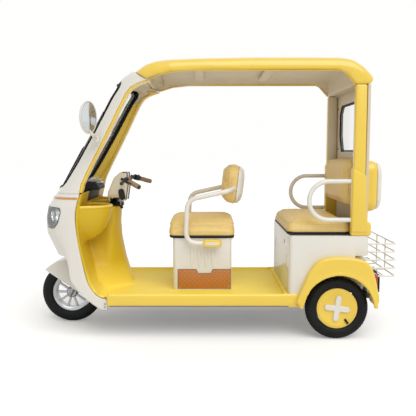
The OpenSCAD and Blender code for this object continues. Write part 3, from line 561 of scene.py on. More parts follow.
# Headlamps: clear moulded lenses at the nose corners with chromed bowls behind them.
# Each side has three bowls, set back in the lens and turned to follow its curve.
lens = Finish("clear_lens", Roughness=0.05, Alpha=0.3, Coat_Weight=1.0, Coat_Roughness=0.03)
rib = lens.place.node("TexWave", {"Vector": lens.place, "Scale": 28.0, "Distortion": 0.0}, 1,
                      bands_direction="Z")
lens.tones(rib, "c9d0d2", "f1f4f4")
lens.bump(rib, 0.2, 0.001)
dress("headlamps", lens.material)
chrome = Finish("lamp_chrome", Metallic=1.0)
chrome.tones(chrome.noise(20), "d5d8da", "eef0f1")
chrome.feed("Roughness", 0.08 + 0.08 * chrome.noise(40))

gloss_black = Finish("gloss_black", Coat_Weight=1.0, Coat_Roughness=0.05, Roughness=0.2)
gloss_black.tones(gloss_black.noise(6), "0c0d0f", "1a1b1e")
gloss_black.bump(gloss_black.noise(200, 2.0), 0.05, 0.0005)
housing = join_copies("lamp_housing", ["headlamps"])
delete_faces(housing, lambda face: not faces_inward(face))
modify(housing, "SOLIDIFY", thickness=0.003, offset=1.0)
settle(housing, "body", gloss_black.material)

bowl_r, bowl_depth, bowl_t = 0.033, 0.026, 0.002
first_bowl = fresh(bpy.ops.mesh.primitive_uv_sphere_add, segments=32, ring_count=16, radius=bowl_r)
keep_side(first_bowl, (0, 0, 0), (0, 0, -1))
first_bowl.scale = (1, 1, bowl_depth / bowl_r)
apply_transform()
modify(first_bowl, "SOLIDIFY", thickness=bowl_t, offset=0.0)
smooth_below(40)
bowl_places = (((1.088, 0.275, 0.806), 14), ((1.058, 0.345, 0.812), 34), ((1.012, 0.392, 0.818), 58))
for place, turn in bowl_places:
    bowl = duplicate(first_bowl)
    bowl.rotation_euler = (0, math.radians(90), math.radians(turn))
    bowl.location = place
    settle_pair(bowl, f"lamp_bowl_{turn}", "body", chrome.material)
bpy.data.objects.remove(first_bowl)


# Roof: one yellow moulding with rolled edges over a beige grained lining.
# The rear posts carry it in moulded sleeves, a beige wall with the rear window closes the back,
# and a thin yellow strip edges each door opening.
roof_skin = skin("roof_skin", ["roof_shell"], 0.009, 8, yellow, 0.6)
lining = Finish("beige_lining", Specular_IOR_Level=0.35)
lining_cells = lining.cells(380)
lining.tones(lining.noise(5), "d0c3a9", "dfd3bc")
lining.feed("Roughness", 0.5 + 0.2 * lining_cells)
lining.bump(lining_cells, 0.2, 0.0008)
roof_middle = Vector((-0.2, 0, 1.60))
lining_hw, lining_top, roof_lip_top, roof_lip_back = 0.425, 1.80, 1.703, -0.76


def under_roof(face):
    """The inside of the roof, without the yellow lip that hangs down at the front and sides."""
    inward = (roof_middle - face.center).normalized()
    lip = face.center.z < roof_lip_top and face.center.x > roof_lip_back
    below = abs(face.center.y) < lining_hw and face.center.z < lining_top
    return below and not lip and face.normal.dot(inward) > 0.05


two_tone(roof_skin, lining.material, under_roof)
two_tone(frame_skin, lining.material, lambda face: face.center.z > 1.60 and face.material_index == 1)
crisp("roof_lining", lining.material, 0.006)
crisp("rear_wall", lining.material, 0.004)
posts = crisp("rear_pillars", yellow, 0.012)
strip_r, strip_bend = 0.0050, 0.03
strip_run = ((-0.906, 0.421, 1.662), (-0.860, 0.4235, 1.714), (-0.829, 0.428, 1.7485),
             (0.180, 0.428, 1.7475), (0.300, 0.412, 1.7325), (0.410, 0.393, 1.697))
strip = tube("door_edge_strip", rounded_path(strip_run, strip_bend), strip_r)
settle_pair(strip, "door_edge_strip", "body", yellow)
two_tone(posts, lining.material, lambda face: face.normal.y * face.center.y < -0.2)

sleeve_low, sleeve_high = Vector((-0.990, 0.392, 0.715)), Vector((-0.900, 0.452, 1.125))
sleeve_cut, sleeve_flare, sleeve_edge = 0.045, 0.012, 0.009
sleeve_mid = (sleeve_low + sleeve_high) / 2
sleeve = fresh(bpy.ops.mesh.primitive_cube_add, size=1.0, location=sleeve_mid)
sleeve.scale = sleeve_high - sleeve_low
apply_transform()
for vertex in sleeve.data.vertices:
    if vertex.co.x < sleeve_mid.x:
        if vertex.co.z > sleeve_mid.z:
            vertex.co.z -= sleeve_cut
        else:
            vertex.co.x -= sleeve_flare
modify(sleeve, "BEVEL", width=sleeve_edge, segments=3)
smooth_below(40)
settle_pair(sleeve, "post_sleeve", "body", yellow)


# Rear seat back: a yellow moulded box and a white cap behind the wall, both with round edges.
# The tan pad inside is foam under leathercloth, stitched round its edge with piping.
skin("seat_back_box", ["rear_cap_body"], 0.007, 6, yellow, 0.6)
skin("seat_back_cap", ["rear_cap"], 0.007, 6, white, 0.6)

leather = Finish("tan_leathercloth", Specular_IOR_Level=0.4, Coat_Weight=0.08, Coat_Roughness=0.4)
pebble = leather.cells(330)
crease = leather.noise(28, 6.0, 0.6)
leather.tones(crease, "dfbd6c", "f0d48f")
leather.feed("Roughness", 0.42 + 0.22 * pebble)
leather.bump(pebble + 0.8 * crease, 0.22, 0.0012)
piping = Finish("cream_piping", Specular_IOR_Level=0.4)
piping.tones(piping.noise(60), "dcbc74", "f0d899")
piping.feed("Roughness", 0.45 + 0.2 * piping.noise(300))
piping.bump(piping.noise(800, 2.0), 0.3, 0.0005)

cloth_pressure, cloth_frames = 4.0, 20


def stuffed(node_name, held, cap, voxel=0.008):
    """A pad of foam under leathercloth, blown up as cloth; held says which points stay put."""
    piece = join_copies(node_name + "_foam", [node_name])
    modify(piece, "REMESH", mode="VOXEL", voxel_size=voxel)
    modify(piece, "SMOOTH", factor=0.5, iterations=4)
    rest = [v.co.copy() for v in piece.data.vertices]
    solo(piece)
    pinned = piece.vertex_groups.new(name="pinned")
    pinned.add([i for i, co in enumerate(rest) if held(co)], 1.0, "REPLACE")
    cloth = piece.modifiers.new("cloth", "CLOTH")
    cloth.settings.vertex_group_mass = "pinned"
    cloth.settings.use_pressure = True
    cloth.settings.uniform_pressure_force = cloth_pressure
    cloth.settings.effector_weights.gravity = 0
    cloth.settings.quality = 4
    cloth.point_cache.frame_start = 1
    cloth.point_cache.frame_end = cloth_frames
    for step in range(1, cloth_frames + 1):
        bpy.context.scene.frame_set(step)
    bpy.ops.object.modifier_apply(modifier="cloth")
    bpy.context.scene.frame_set(1)
    piece.vertex_groups.clear()
    for vertex, start in zip(piece.data.vertices, rest):
        move = vertex.co - start
        if move.length > cap:
            vertex.co = start + move.normalized() * cap
    modify(piece, "SMOOTH", factor=0.5, iterations=3)
    modify(piece, "SUBSURF", levels=1, render_levels=1)
    solo(piece)
    bpy.ops.object.shade_smooth()
    settle(piece, bodies_of[node_name], leather.material)
    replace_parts(piece, node_name)
    return piece


def piped(name, pad, plane, half, corner, cord_r=0.004, steps=8):
    """A piping cord round a pad: a rounded rectangle laid on the pad's surface.
    plane is (origin, across, up); half is the rectangle's half sizes along those two."""
    origin, across, up = (Vector(v) for v in plane)
    loop = fresh(bpy.ops.mesh.primitive_circle_add, vertices=4 * steps * 3, radius=1.0)
    loop.name = name
    count = len(loop.data.vertices)
    for i, vertex in enumerate(loop.data.vertices):
        angle = 2 * math.pi * i / count
        u = half[0] * math.copysign(abs(math.cos(angle)) ** corner, math.cos(angle))
        v = half[1] * math.copysign(abs(math.sin(angle)) ** corner, math.sin(angle))
        vertex.co = origin + across * u + up * v
    wrap = loop.modifiers.new("wrap", "SHRINKWRAP")
    wrap.target = pad
    bpy.ops.object.modifier_apply(modifier="wrap")
    modify(loop, "SMOOTH", factor=0.5, iterations=4)
    solo(loop)
    bpy.ops.object.convert(target="CURVE")
    loop = bpy.context.active_object
    loop.data.bevel_depth = cord_r
    loop.data.bevel_resolution = 3
    bpy.ops.object.convert(target="MESH")
    loop = bpy.context.active_object
    bpy.ops.object.shade_smooth()
    return settle(loop, body_of(pad)[0], piping.material)


low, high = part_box("rear_pad")
rear_foam = stuffed("rear_pad", lambda co: co.x < low.x + 0.02, 0.012)
middle = (low + high) / 2
piped("rear_pad_piping", rear_foam, ((high.x - 0.012, 0, middle.z), (0, 1, 0), (0, 0, 1)),
      (high.y - 0.012, (high.z - low.z) / 2 - 0.012), 0.35)


# Bench: a white moulded storage box with a hinged lid; the lid is a black pan with a tan cushion.
# The cushion is foam under leathercloth with piping round its top edge; a lock sits in the box front.
# A white cheek, cut out round the wheel, closes each side of the box.
crisp("bench_box", white, 0.008)
crisp("bench_pan", grained.material, 0.003)
bench_low, bench_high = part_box("bench_cushion")
bench_foam = stuffed("bench_cushion", lambda co: co.z < bench_low.z + 0.03, 0.009)
bench_crown, bench_centre, bench_reach = 0.018, -0.700, 0.215
for vertex in bench_foam.data.vertices:
    lift = max(0.0, (vertex.co.z - bench_low.z) / (bench_high.z - bench_low.z))
    across = min(1.0, abs(vertex.co.y) / bench_high.y)
    depth = min(1.0, abs(vertex.co.x - bench_centre) / bench_reach)
    vertex.co.z += bench_crown * lift * (1 - across ** 3) * (1 - depth ** 4)
bench_mid = (bench_low + bench_high) / 2
piped("bench_piping", bench_foam, ((bench_mid.x, 0, bench_high.z - 0.012), (1, 0, 0), (0, 1, 0)),
      ((bench_high.x - bench_low.x) / 2 - 0.01, bench_high.y - 0.01), 0.3)


def knob(name, radius, depth, place, turn, body, material, dish=0.0):
    """A turned button: a disc with a rounded rim and, where asked, a dished face."""
    piece = fresh(bpy.ops.mesh.primitive_cylinder_add, vertices=32, radius=radius, depth=depth)
    piece.name = name
    for face in piece.data.polygons:
        face.select = face.normal.z > 0.9
    with editing("FACE"):
        bpy.ops.mesh.inset(thickness=radius * 0.3)
        bpy.ops.transform.translate(value=(0, 0, -dish))
    modify(piece, "BEVEL", width=min(radius, depth) * 0.2, segments=3, limit_method="ANGLE")
    solo(piece)
    smooth_below(40)
    piece.rotation_euler = [math.radians(a) for a in turn]
    piece.location = place
    return settle(piece, body, material)


def band_round(name, low, high, height, radius, corner, body):
    """A black rubber band that runs round a lid below its cushion."""
    corners = [(high.x, high.y, height), (low.x, high.y, height),
               (low.x, low.y, height), (high.x, low.y, height)]
    ring = tube(name, rounded_path(corners, corner, True), radius, True)
    return settle(ring, body, seal_rubber)


inset = Vector((0.006, 0.006, 0))
band_round("bench_band", bench_low + inset, bench_high - inset, bench_low.z + 0.001, 0.0075, 0.045,
           "bench_lid")
box_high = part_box("bench_box")[1]
panel_low, panel_high = Vector((-0.930, 0.330, 0.300)), Vector((-0.5005, box_high.y + 0.0008, 0.688))
panel_mid, arch_cut, cheek_round, cheek_edge = (panel_low + panel_high) / 2, 0.243, 0.028, 0.006
cutter = fresh(bpy.ops.mesh.primitive_cylinder_add, vertices=96, radius=arch_cut, depth=1.0,
               location=(axle_at[0], 0.4, axle_at[1]), rotation=(math.radians(90), 0, 0))
cheek = fresh(bpy.ops.mesh.primitive_cube_add, size=1.0, location=panel_mid)
cheek.scale = panel_high - panel_low
apply_transform()
corner = [v.index for v in cheek.data.vertices if v.co.x > panel_mid.x and v.co.y > panel_mid.y]
for face in cheek.data.polygons:
    face.select = False
for edge in cheek.data.edges:
    edge.select = all(i in corner for i in edge.vertices)
for vertex in cheek.data.vertices:
    vertex.select = vertex.index in corner
with editing("EDGE"):
    bpy.ops.mesh.bevel(offset=cheek_round, segments=8, affect="EDGES")
modify(cheek, "BOOLEAN", operation="DIFFERENCE", object=cutter, solver="EXACT")
bpy.data.objects.remove(cutter)
modify(cheek, "BEVEL", width=cheek_edge, segments=3, limit_method="ANGLE", angle_limit=math.radians(50))
solo(cheek)
smooth_below(35)
settle_pair(cheek, "bench_cheek", "body", white)

knob("bench_lock", 0.014, 0.008, (box_high.x + 0.002, 0.20, 0.62), (0, 90, 0), "body",
     zinc.material, 0.003)


# Front seat: a white box with soft flutes and a brown dotted door on its left side.
# Its lid is a black pan with a tan cushion, hinged at the back.
crisp("front_seat_box", white, 0.008)
crisp("front_seat_pan", grained.material, 0.003)
seat_low, seat_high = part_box("front_cushion")
seat_foam = stuffed("front_cushion", lambda co: co.z < seat_low.z + 0.035, 0.008)
seat_crown, seat_fall = 0.008, 0.026
for vertex in seat_foam.data.vertices:
    lift = (vertex.co.z - seat_low.z) / (seat_high.z - seat_low.z)
    out = abs(vertex.co.y) / seat_high.y
    vertex.co.z += max(0.0, lift) * (seat_crown * (1 - out * out) - seat_fall * out ** 3)
seat_mid = (seat_low + seat_high) / 2
piped("front_piping", seat_foam, ((seat_mid.x, 0, seat_high.z - 0.040), (1, 0, 0), (0, 1, 0)),
      ((seat_high.x - seat_low.x) / 2 - 0.01, seat_high.y - 0.01), 0.3)

band_round("front_seat_band", seat_low + 2 * inset, seat_high - 2 * inset, seat_low.z - 0.004, 0.011, 0.05,
           "front_seat_lid")

brown = Finish("brown_dotted_panel", Coat_Weight=0.15, Coat_Roughness=0.3)
axes = [brown.place.node("SeparateXYZ", {0: brown.place}, i) for i in range(3)]
dot_pitch, dot_r = 0.034, 0.0036
row = brown.place.math("FLOOR", axes[2] * (1 / (dot_pitch / 2)), 0.0)
along = axes[0] + row * (dot_pitch / 2)
dot_u = (brown.place.math("FRACT", along * (1 / dot_pitch), 0.0) - 0.5) * dot_pitch
dot_v = (brown.place.math("FRACT", axes[2] * (1 / (dot_pitch / 2)), 0.0) - 0.5) * (dot_pitch / 2)
dots = (dot_u * dot_u + dot_v * dot_v) < dot_r * dot_r
brown.tones(dots, "b4702f", "c78d4e")
brown.feed("Roughness", 0.45 + 0.15 * brown.noise(80))
brown.bump(brown.cells(500), 0.2, 0.0006)
crisp("access_panel", brown.material, 0.002)
door_edge = join_copies("door_edge", ["access_panel"])
with editing():
    bpy.ops.mesh.normals_make_consistent(inside=False)
    bpy.ops.transform.shrink_fatten(value=0.0035)
    bpy.ops.transform.translate(value=(0, -0.005, 0))
settle(door_edge, "body", seal_rubber)
dress("battery_block", grained.material)

flute_h, flute_w, flute_out, flute_pitch, box_side = 0.17, 0.024, 0.006, 0.048, 0.240
first_flute = fresh(bpy.ops.mesh.primitive_uv_sphere_add, segments=24, ring_count=16, radius=1.0)
keep_side(first_flute, (0, 0, 0), (0, 1, 0))
first_flute.scale = (flute_w / 2, flute_out, flute_h / 2)
solo(first_flute)
bpy.ops.object.shade_smooth()
for i in range(4):
    flute = duplicate(first_flute)
    flute.location = (-0.005 + flute_pitch * i, box_side, 0.525)
    settle_pair(flute, f"seat_flute_{i}", "body", white)
bpy.data.objects.remove(first_flute)


# Front backrest: white bent tubes turn on pins at the seat box and carry a tan pad on a white shell.
# A yellow capsule with a white slot covers each pin.
white_coat = coated_steel("white_powder_coat", "e9e6dd", 0.35)


def join_pieces(name, pieces):
    """One object out of several pieces."""
    bpy.ops.object.select_all(action="DESELECT")
    for piece in pieces:
        piece.select_set(True)
    bpy.context.view_layer.objects.active = pieces[0]
    bpy.ops.object.join()
    joined = bpy.context.active_object
    joined.name = name
    return joined


arm_r, arm_y, arm_bend = 0.0165, 0.285, 0.085
arm_run = [(-0.050, arm_y, 0.617), (0.180, arm_y, 0.617), (0.166, arm_y, 0.912),
           (-0.110, arm_y, 0.972), (-0.150, 0.205, 0.985)]
arm = tube("backrest_tube", rounded_path(arm_run, arm_bend), arm_r)
arm_tubes = join_pieces("backrest_tube", [arm, mirrored(arm)])
settle(arm_tubes, "front_backrest", white_coat)
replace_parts(arm_tubes, "backrest_arms")
back_shell = skin("backrest_back", ["backrest_shell"], 0.005, 6, white, 0.6)
lean, pad_swell, shell_swell, shell_back = math.radians(7), 0.5, 0.25, 0.030
back_up = Vector((-math.sin(lean), 0, math.cos(lean)))
back_front = Vector((math.cos(lean), 0, math.sin(lean)))
back_mid = Vector((-0.150, 0, 1.008))
back_foam = stuffed("backrest_pad", lambda co: (co - back_mid).dot(back_front) < -0.012, 0.010, 0.007)
for vertex in back_foam.data.vertices:
    reach = (vertex.co - back_mid).dot(back_front)
    vertex.co += back_front * max(0.0, reach) * pad_swell
for vertex in back_shell.data.vertices:
    reach = (vertex.co - back_mid).dot(back_front)
    vertex.co += back_front * min(0.0, reach + shell_back) * shell_swell
piped("backrest_piping", back_foam, (back_mid + back_front * 0.034, (0, 1, 0), back_up),
      (0.200, 0.124), 0.4)

cover_l, cover_h, cover_t = 0.134, 0.056, 0.044


def lozenge(name, length, width, thick):
    """A flat pill with round ends, long in X and thin in Y."""
    pill = fresh(bpy.ops.mesh.primitive_uv_sphere_add, segments=40, ring_count=20, radius=0.5,
                 rotation=(math.radians(90), 0, 0))
    pill.name = name
    pill.scale = (width, width, thick)
    apply_transform()
    for vertex in pill.data.vertices:
        if abs(vertex.co.x) > 0.0001:
            vertex.co.x += math.copysign((length - width) / 2, vertex.co.x)
        vertex.co.y = math.copysign(min(abs(vertex.co.y) * 1.6, thick / 2), vertex.co.y)
    bpy.ops.object.shade_smooth()
    return pill


for name, length, height, out, finish, slot in (
        ("pin_cover", cover_l, cover_h, cover_t, yellow, "yellow_body"),
        ("pin_slot", cover_l * 0.74, cover_h * 0.42, cover_t + 0.006, white, "white_body")):
    cover = lozenge(name, length, height, out)
    cover.location = (0.0005, arm_y, 0.617)
    settle_pair(cover, name, "front_backrest", finish)


# Grab rails and basket: bent steel tube and welded wire, powder coated white.
# The plate holder below the basket is a black moulding with no plate on it.
rail_r, rail_y, rail_front, rail_back = 0.0155, 0.420, -0.628, -0.910
rail_low, rail_high = 0.793, 1.044
rail_mid, rail_bend = (rail_low + rail_high) / 2, (rail_high - rail_low) / 2
rail_turn = [(rail_front - rail_bend + rail_bend * math.sin(math.pi * k / 24), rail_y,
              rail_mid + rail_bend * math.cos(math.pi * k / 24)) for k in range(25)]
rail_run = [(rail_back, rail_y, rail_high)] + rail_turn + [(rail_back, rail_y, rail_low)]
rail = tube("grab_rail", rail_run, rail_r)
rail_pair = join_pieces("grab_rail_pair", [rail, mirrored(rail)])
settle(rail_pair, "body", white_coat)
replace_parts(rail_pair, "grab_rails")

wire_r, hoop_hw, hoop_front, hoop_back = 0.0056, 0.330, -1.019, -1.230
hoop_low, hoop_high, upright_y, slat_x, slat_step = 0.402, 0.621, 0.10, -1.075, -0.080
hoop_run = [(hoop_front, hoop_hw, hoop_low), (hoop_back, hoop_hw, hoop_low),
            (hoop_back, -hoop_hw, hoop_low), (hoop_front, -hoop_hw, hoop_low)]
hoop = tube("wire", rounded_path(hoop_run, 0.022, True, 4), wire_r, True)
upright_run = [(hoop_front, upright_y, hoop_high), (hoop_front, upright_y, hoop_low),
               (hoop_back, upright_y, hoop_low), (hoop_back, upright_y, hoop_high)]
upright = tube("wire", rounded_path(upright_run, 0.015, False, 4), wire_r * 0.9)
slat = tube("wire", [Vector((slat_x, y, hoop_low)) for y in (hoop_hw, 0, -hoop_hw)], wire_r * 0.8)
wires = [hoop] + [duplicate(hoop, Matrix.Translation((0, 0, height - hoop_low)))
                  for height in (0.457, 0.512, 0.567, hoop_high)]
wires += [upright, mirrored(upright), slat, duplicate(slat, Matrix.Translation((slat_step, 0, 0)))]
wire_basket = settle(join_pieces("wire_basket", wires), "body", white_coat)
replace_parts(wire_basket, "basket")
crisp("plate_bracket", grained.material, 0.0015)


# Tail lamps: ribbed red lenses let into the back of the fenders, moulded in clear red plastic.
# They stand out only a little and are screwed on from inside.
red = Finish("red_lens", Coat_Weight=1.0, Coat_Roughness=0.04, Roughness=0.18)
rib_red = red.place.node("TexWave", {"Vector": red.place, "Scale": 40.0, "Distortion": 0.0}, 1,
                         bands_direction="Z")
red.tones(rib_red, "7c0f0c", "c4251d")
red.bump(rib_red, 0.3, 0.001)
tail_piece = crisp("tail_lamps", red.material, 0.004)
tail_front, tail_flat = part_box("tail_lamps")[1].x, 0.45
for vertex in tail_piece.data.vertices:
    vertex.co.x = tail_front + (vertex.co.x - tail_front) * tail_flat


# Dash: a grained black instrument housing under the windscreen, moulded in plastic.
# A clear dome in a chromed ring covers its three dials, and the panel of the leg shield
# round it is black as well.
skin("instrument_housing", ["instrument_pod"], 0.004, 6, grained.material, 0.7)
dash_back, dash_front, dash_hw, dash_low, dash_high = 0.79, 0.96, 0.20, 0.895, 1.0
two_tone(tub, grained.material, lambda face: dash_back < face.center.x < dash_front
         and abs(face.center.y) < dash_hw and dash_low < face.center.z < dash_high)
pod_low, pod_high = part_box("instrument_pod")
dome_at, dome_size = Vector((pod_low.x + 0.050, 0, pod_high.z - 0.012)), (0.052, 0.108, 0.040)
dome = fresh(bpy.ops.mesh.primitive_uv_sphere_add, segments=48, ring_count=24, radius=1.0)
dome.name = "instrument_cover"
keep_side(dome, (0, 0, 0), (0, 0, 1))
dome.scale = dome_size
dome.location = dome_at
apply_transform()
modify(dome, "SOLIDIFY", thickness=0.002, offset=-1.0)
smooth_below(40)
settle(dome, "body", pane.material)
for y, size in ((0.052, 0.030), (-0.052, 0.030), (0.0, 0.018)):
    knob(f"dial_{round(y * 1000)}", size, 0.012, (dome_at.x, y, dome_at.z + 0.006), (0, -25, 0), "body",
         gloss_black.material, 0.003)
ring_run = [(dome_at.x + dome_size[0] * math.cos(math.pi * k / 24),
             dome_size[1] * math.sin(math.pi * k / 24), dome_at.z) for k in range(48)]
ring = tube("cover_ring", ring_run, 0.0035, True)
settle(ring, "body", chrome.material)


# Mirrors: white moulded heads on short stays, each screwed to a windscreen pillar by a round foot.
# The silvered glass sits in a shallow recess of the head and faces back.
silver = Finish("mirror_silver", Metallic=1.0)
silver.tones(silver.noise(4), "c9cfd2", "dde2e4")
silver.feed("Roughness", 0.09 + 0.05 * silver.noise(15))
mirror_size, mirror_cut = (0.036, 0.066, 0.103), -0.008
mirror_at, mirror_turn = Vector((0.770, 0.530, 1.446)), -38
stay_foot, stay_r = Vector((0.742, 0.436, 1.318)), 0.011
head = fresh(bpy.ops.mesh.primitive_uv_sphere_add, segments=48, ring_count=24, radius=1.0)
head.scale = mirror_size
apply_transform()
with editing():
    bpy.ops.mesh.bisect(plane_co=(mirror_cut, 0, 0), plane_no=(1, 0, 0), clear_inner=True, use_fill=True)
for face in head.data.polygons:
    face.select = face.normal.x < -0.9 and face.center.x < mirror_cut + 0.001
with editing("FACE"):
    bpy.ops.mesh.inset(thickness=0.005)
    bpy.ops.mesh.extrude_region_move(TRANSFORM_OT_translate={"value": (0.006, 0, 0)})
modify(head, "BEVEL", width=0.0015, segments=2, limit_method="ANGLE", angle_limit=math.radians(40))
smooth_below(40)
mirror_place = Matrix.Translation(mirror_at) @ Matrix.Rotation(math.radians(mirror_turn), 4, "Z")
head.data.transform(mirror_place)
stay_run = [stay_foot, (stay_foot.x + 0.006, 0.500, stay_foot.z + 0.020),
            (mirror_at.x, 0.526, mirror_at.z - 0.080)]
stay = tube("stay", rounded_path(stay_run, 0.03), stay_r)
foot = tube("foot", [stay_foot + Vector((0, out, 0)) for out in (-0.012, 0, 0.012)], 0.022)
mirror_left = join_pieces("mirror_left", [head, stay, foot])
mirror_heads = join_pieces("mirror_heads", [mirror_left, mirrored(mirror_left)])
settle(mirror_heads, "body", white)
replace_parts(mirror_heads, "mirrors")

glass = fresh(bpy.ops.mesh.primitive_cylinder_add, vertices=64, radius=1.0, depth=0.004,
              rotation=(0, math.radians(90), 0))
apply_transform()
glass.scale = (1.0, mirror_size[1] - 0.008, mirror_size[2] - 0.010)
apply_transform()
modify(glass, "BEVEL", width=0.0012, segments=2, limit_method="ANGLE")
smooth_below(40)
glass.data.transform(mirror_place @ Matrix.Translation((mirror_cut + 0.003, 0, 0)))
settle_pair(glass, "mirror_glass", "body", silver.material)


# Handlebar: a cream moulded cover over the clamp, taupe rubber grips and black switch clusters.
# The levers are black castings and each cluster has an orange button. A rubber boot closes the
# column below, and a bag hook is screwed on behind it.
cream = moulding("cream_moulding", "e6dcc2", 0.38, 0.3)
skin("bar_cover", ["handlebar_cover"], 0.004, 8, cream, 0.7)
taupe = rubber("taupe_grip", "9a856d", 0.6)
crisp("grips", taupe, 0.002)
crisp("switchgear", grained.material, 0.0015)
orange = moulding("orange_button", "d8642a", 0.35, 0.4)
for side in (1, -1):
    knob(f"bar_button_{'left' if side > 0 else 'right'}", 0.007, 0.008, (0.556, side * 0.262, 1.056),
         (0, -20, 0), "steering", orange, 0.001)

trim = join_copies("cover_trim", ["handlebar_cover"])
modify(trim, "REMESH", mode="VOXEL", voxel_size=0.004)
modify(trim, "SMOOTH", factor=0.5, iterations=8)
delete_faces(trim, lambda face: 0.008 < abs(face.center.y) - 0.068 or abs(face.center.y) < 0.052)
modify(trim, "SOLIDIFY", thickness=0.003, offset=1.0)
smooth_below(40)
settle(trim, "steering", grained.material)

steer_at = Vector((1.0002, 0, 0.217))
steer_axis = Vector((-math.sin(math.radians(26)), 0, math.cos(math.radians(26))))
boot_rows = ((0.704, 0.054), (0.712, 0.054), (0.720, 0.046), (0.730, 0.048), (0.742, 0.040))
boot = fresh(bpy.ops.mesh.primitive_grid_add, x_subdivisions=40, y_subdivisions=len(boot_rows) - 1,
             size=1.0)
boot.name = "steering_boot"
tilt = steer_axis.to_track_quat("Z", "X").to_matrix().to_4x4()
for vertex in boot.data.vertices:
    row = boot_rows[round((vertex.co.y + 0.5) * (len(boot_rows) - 1))]
    angle = (vertex.co.x + 0.5) * 2 * math.pi
    ring = Vector((row[1] * math.cos(angle), row[1] * math.sin(angle), row[0]))
    vertex.co = steer_at + tilt.to_3x3() @ ring
with editing():
    bpy.ops.mesh.remove_doubles(threshold=0.0001)
    bpy.ops.mesh.normals_make_consistent(inside=False)
modify(boot, "SOLIDIFY", thickness=0.002, offset=-1.0)
smooth_below(40)
settle(boot, "steering", seal_rubber)

hook_at = Vector((0.632, 0.114, 0.936))
hook = lozenge("bag_hook", 0.082, 0.044, 0.026)
hook.data.transform(Matrix.Translation(hook_at) @ Matrix.Rotation(math.radians(100), 4, "Y"))
settle(hook, "steering", grained.material)
prong_run = [hook_at + Vector(v) for v in ((-0.010, 0.008, -0.020), (-0.016, 0.012, -0.062),
                                           (-0.016, 0.026, -0.070))]
prong = tube("prong", rounded_path(prong_run, 0.008), 0.0035)
prongs = [prong, duplicate(prong, Matrix.Translation((0.022, 0, 0)))]
settle(join_pieces("hook_prongs", prongs), "steering", zinc.material)


# Front mudguard: a white plastic moulding over the front tyre, open below.
# It is bolted between the fork legs and turns with them.
skin("mudguard_skin", ["front_mudguard"], 0.004, 4, white, 0.7)


# Wheels: a cast alloy front wheel with ten spokes, and yellow rear discs with a white cross and a valve.
# The tyres are black rubber with a block tread and a plain ribbed sidewall.
alloy = Finish("cast_alloy", Metallic=1.0)
alloy.tones(alloy.noise(30), "a9acae", "c6c8ca")
alloy.feed("Roughness", 0.34 + 0.16 * (alloy.noise(160) - 0.5))
alloy.bump(alloy.noise(450, 2.0), 0.2, 0.0005)
hub_at = Vector((1.018, 0, 0.217))
ring_profile = ((0.112, 0.030), (0.122, 0.036), (0.134, 0.038), (0.137, 0.036), (0.130, 0.024),
                (0.118, 0.010), (0.118, -0.010), (0.130, -0.024), (0.137, -0.036), (0.134, -0.038),
                (0.122, -0.036), (0.112, -0.030))
hub_profile = ((0.0085, 0.040), (0.030, 0.040), (0.036, 0.034), (0.042, 0.012),
               (0.042, -0.012), (0.036, -0.034), (0.030, -0.040), (0.0085, -0.040))
spoke_count = 10


def spun(name, profile, steps=72):
    """A turned ring or hub from a closed outline of radius and width about Y."""
    ring = fresh(bpy.ops.mesh.primitive_circle_add, vertices=len(profile), radius=1.0)
    ring.name = name
    for vertex, (r, y) in zip(ring.data.vertices, profile):
        vertex.co = (0, y, r)
    with editing():
        bpy.ops.mesh.spin(steps=steps, angle=2 * math.pi, center=(0, 0, 0), axis=(0, 1, 0))
        bpy.ops.mesh.select_all(action="SELECT")
        bpy.ops.mesh.remove_doubles(threshold=0.00005)
        bpy.ops.mesh.normals_make_consistent(inside=False)
    smooth_below(35)
    return ring


spoke = lozenge("spoke", 0.092, 0.017, 0.020)
spoke.data.transform(Matrix.Translation((0.078, 0.012, 0)))
wheel_parts = [spun("rim_ring", ring_profile), spun("rim_hub", hub_profile, 48), spoke]
wheel_parts += [duplicate(spoke, Matrix.Rotation(2 * math.pi * i / spoke_count, 4, "Y"))
                for i in range(1, spoke_count)]
front_wheel_piece = join_pieces("cast_front_wheel", wheel_parts)
front_wheel_piece.data.transform(Matrix.Translation(hub_at))
settle(front_wheel_piece, "front_wheel", alloy.material)
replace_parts(front_wheel_piece, "front_rim")
crisp("rear_rim_left", yellow, 0.002)
crisp("rear_rim_right", yellow, 0.002)
tread = rubber("tyre_rubber", "0c0d0e", 0.6)

groove_depth, bead_r = 0.007, 0.134


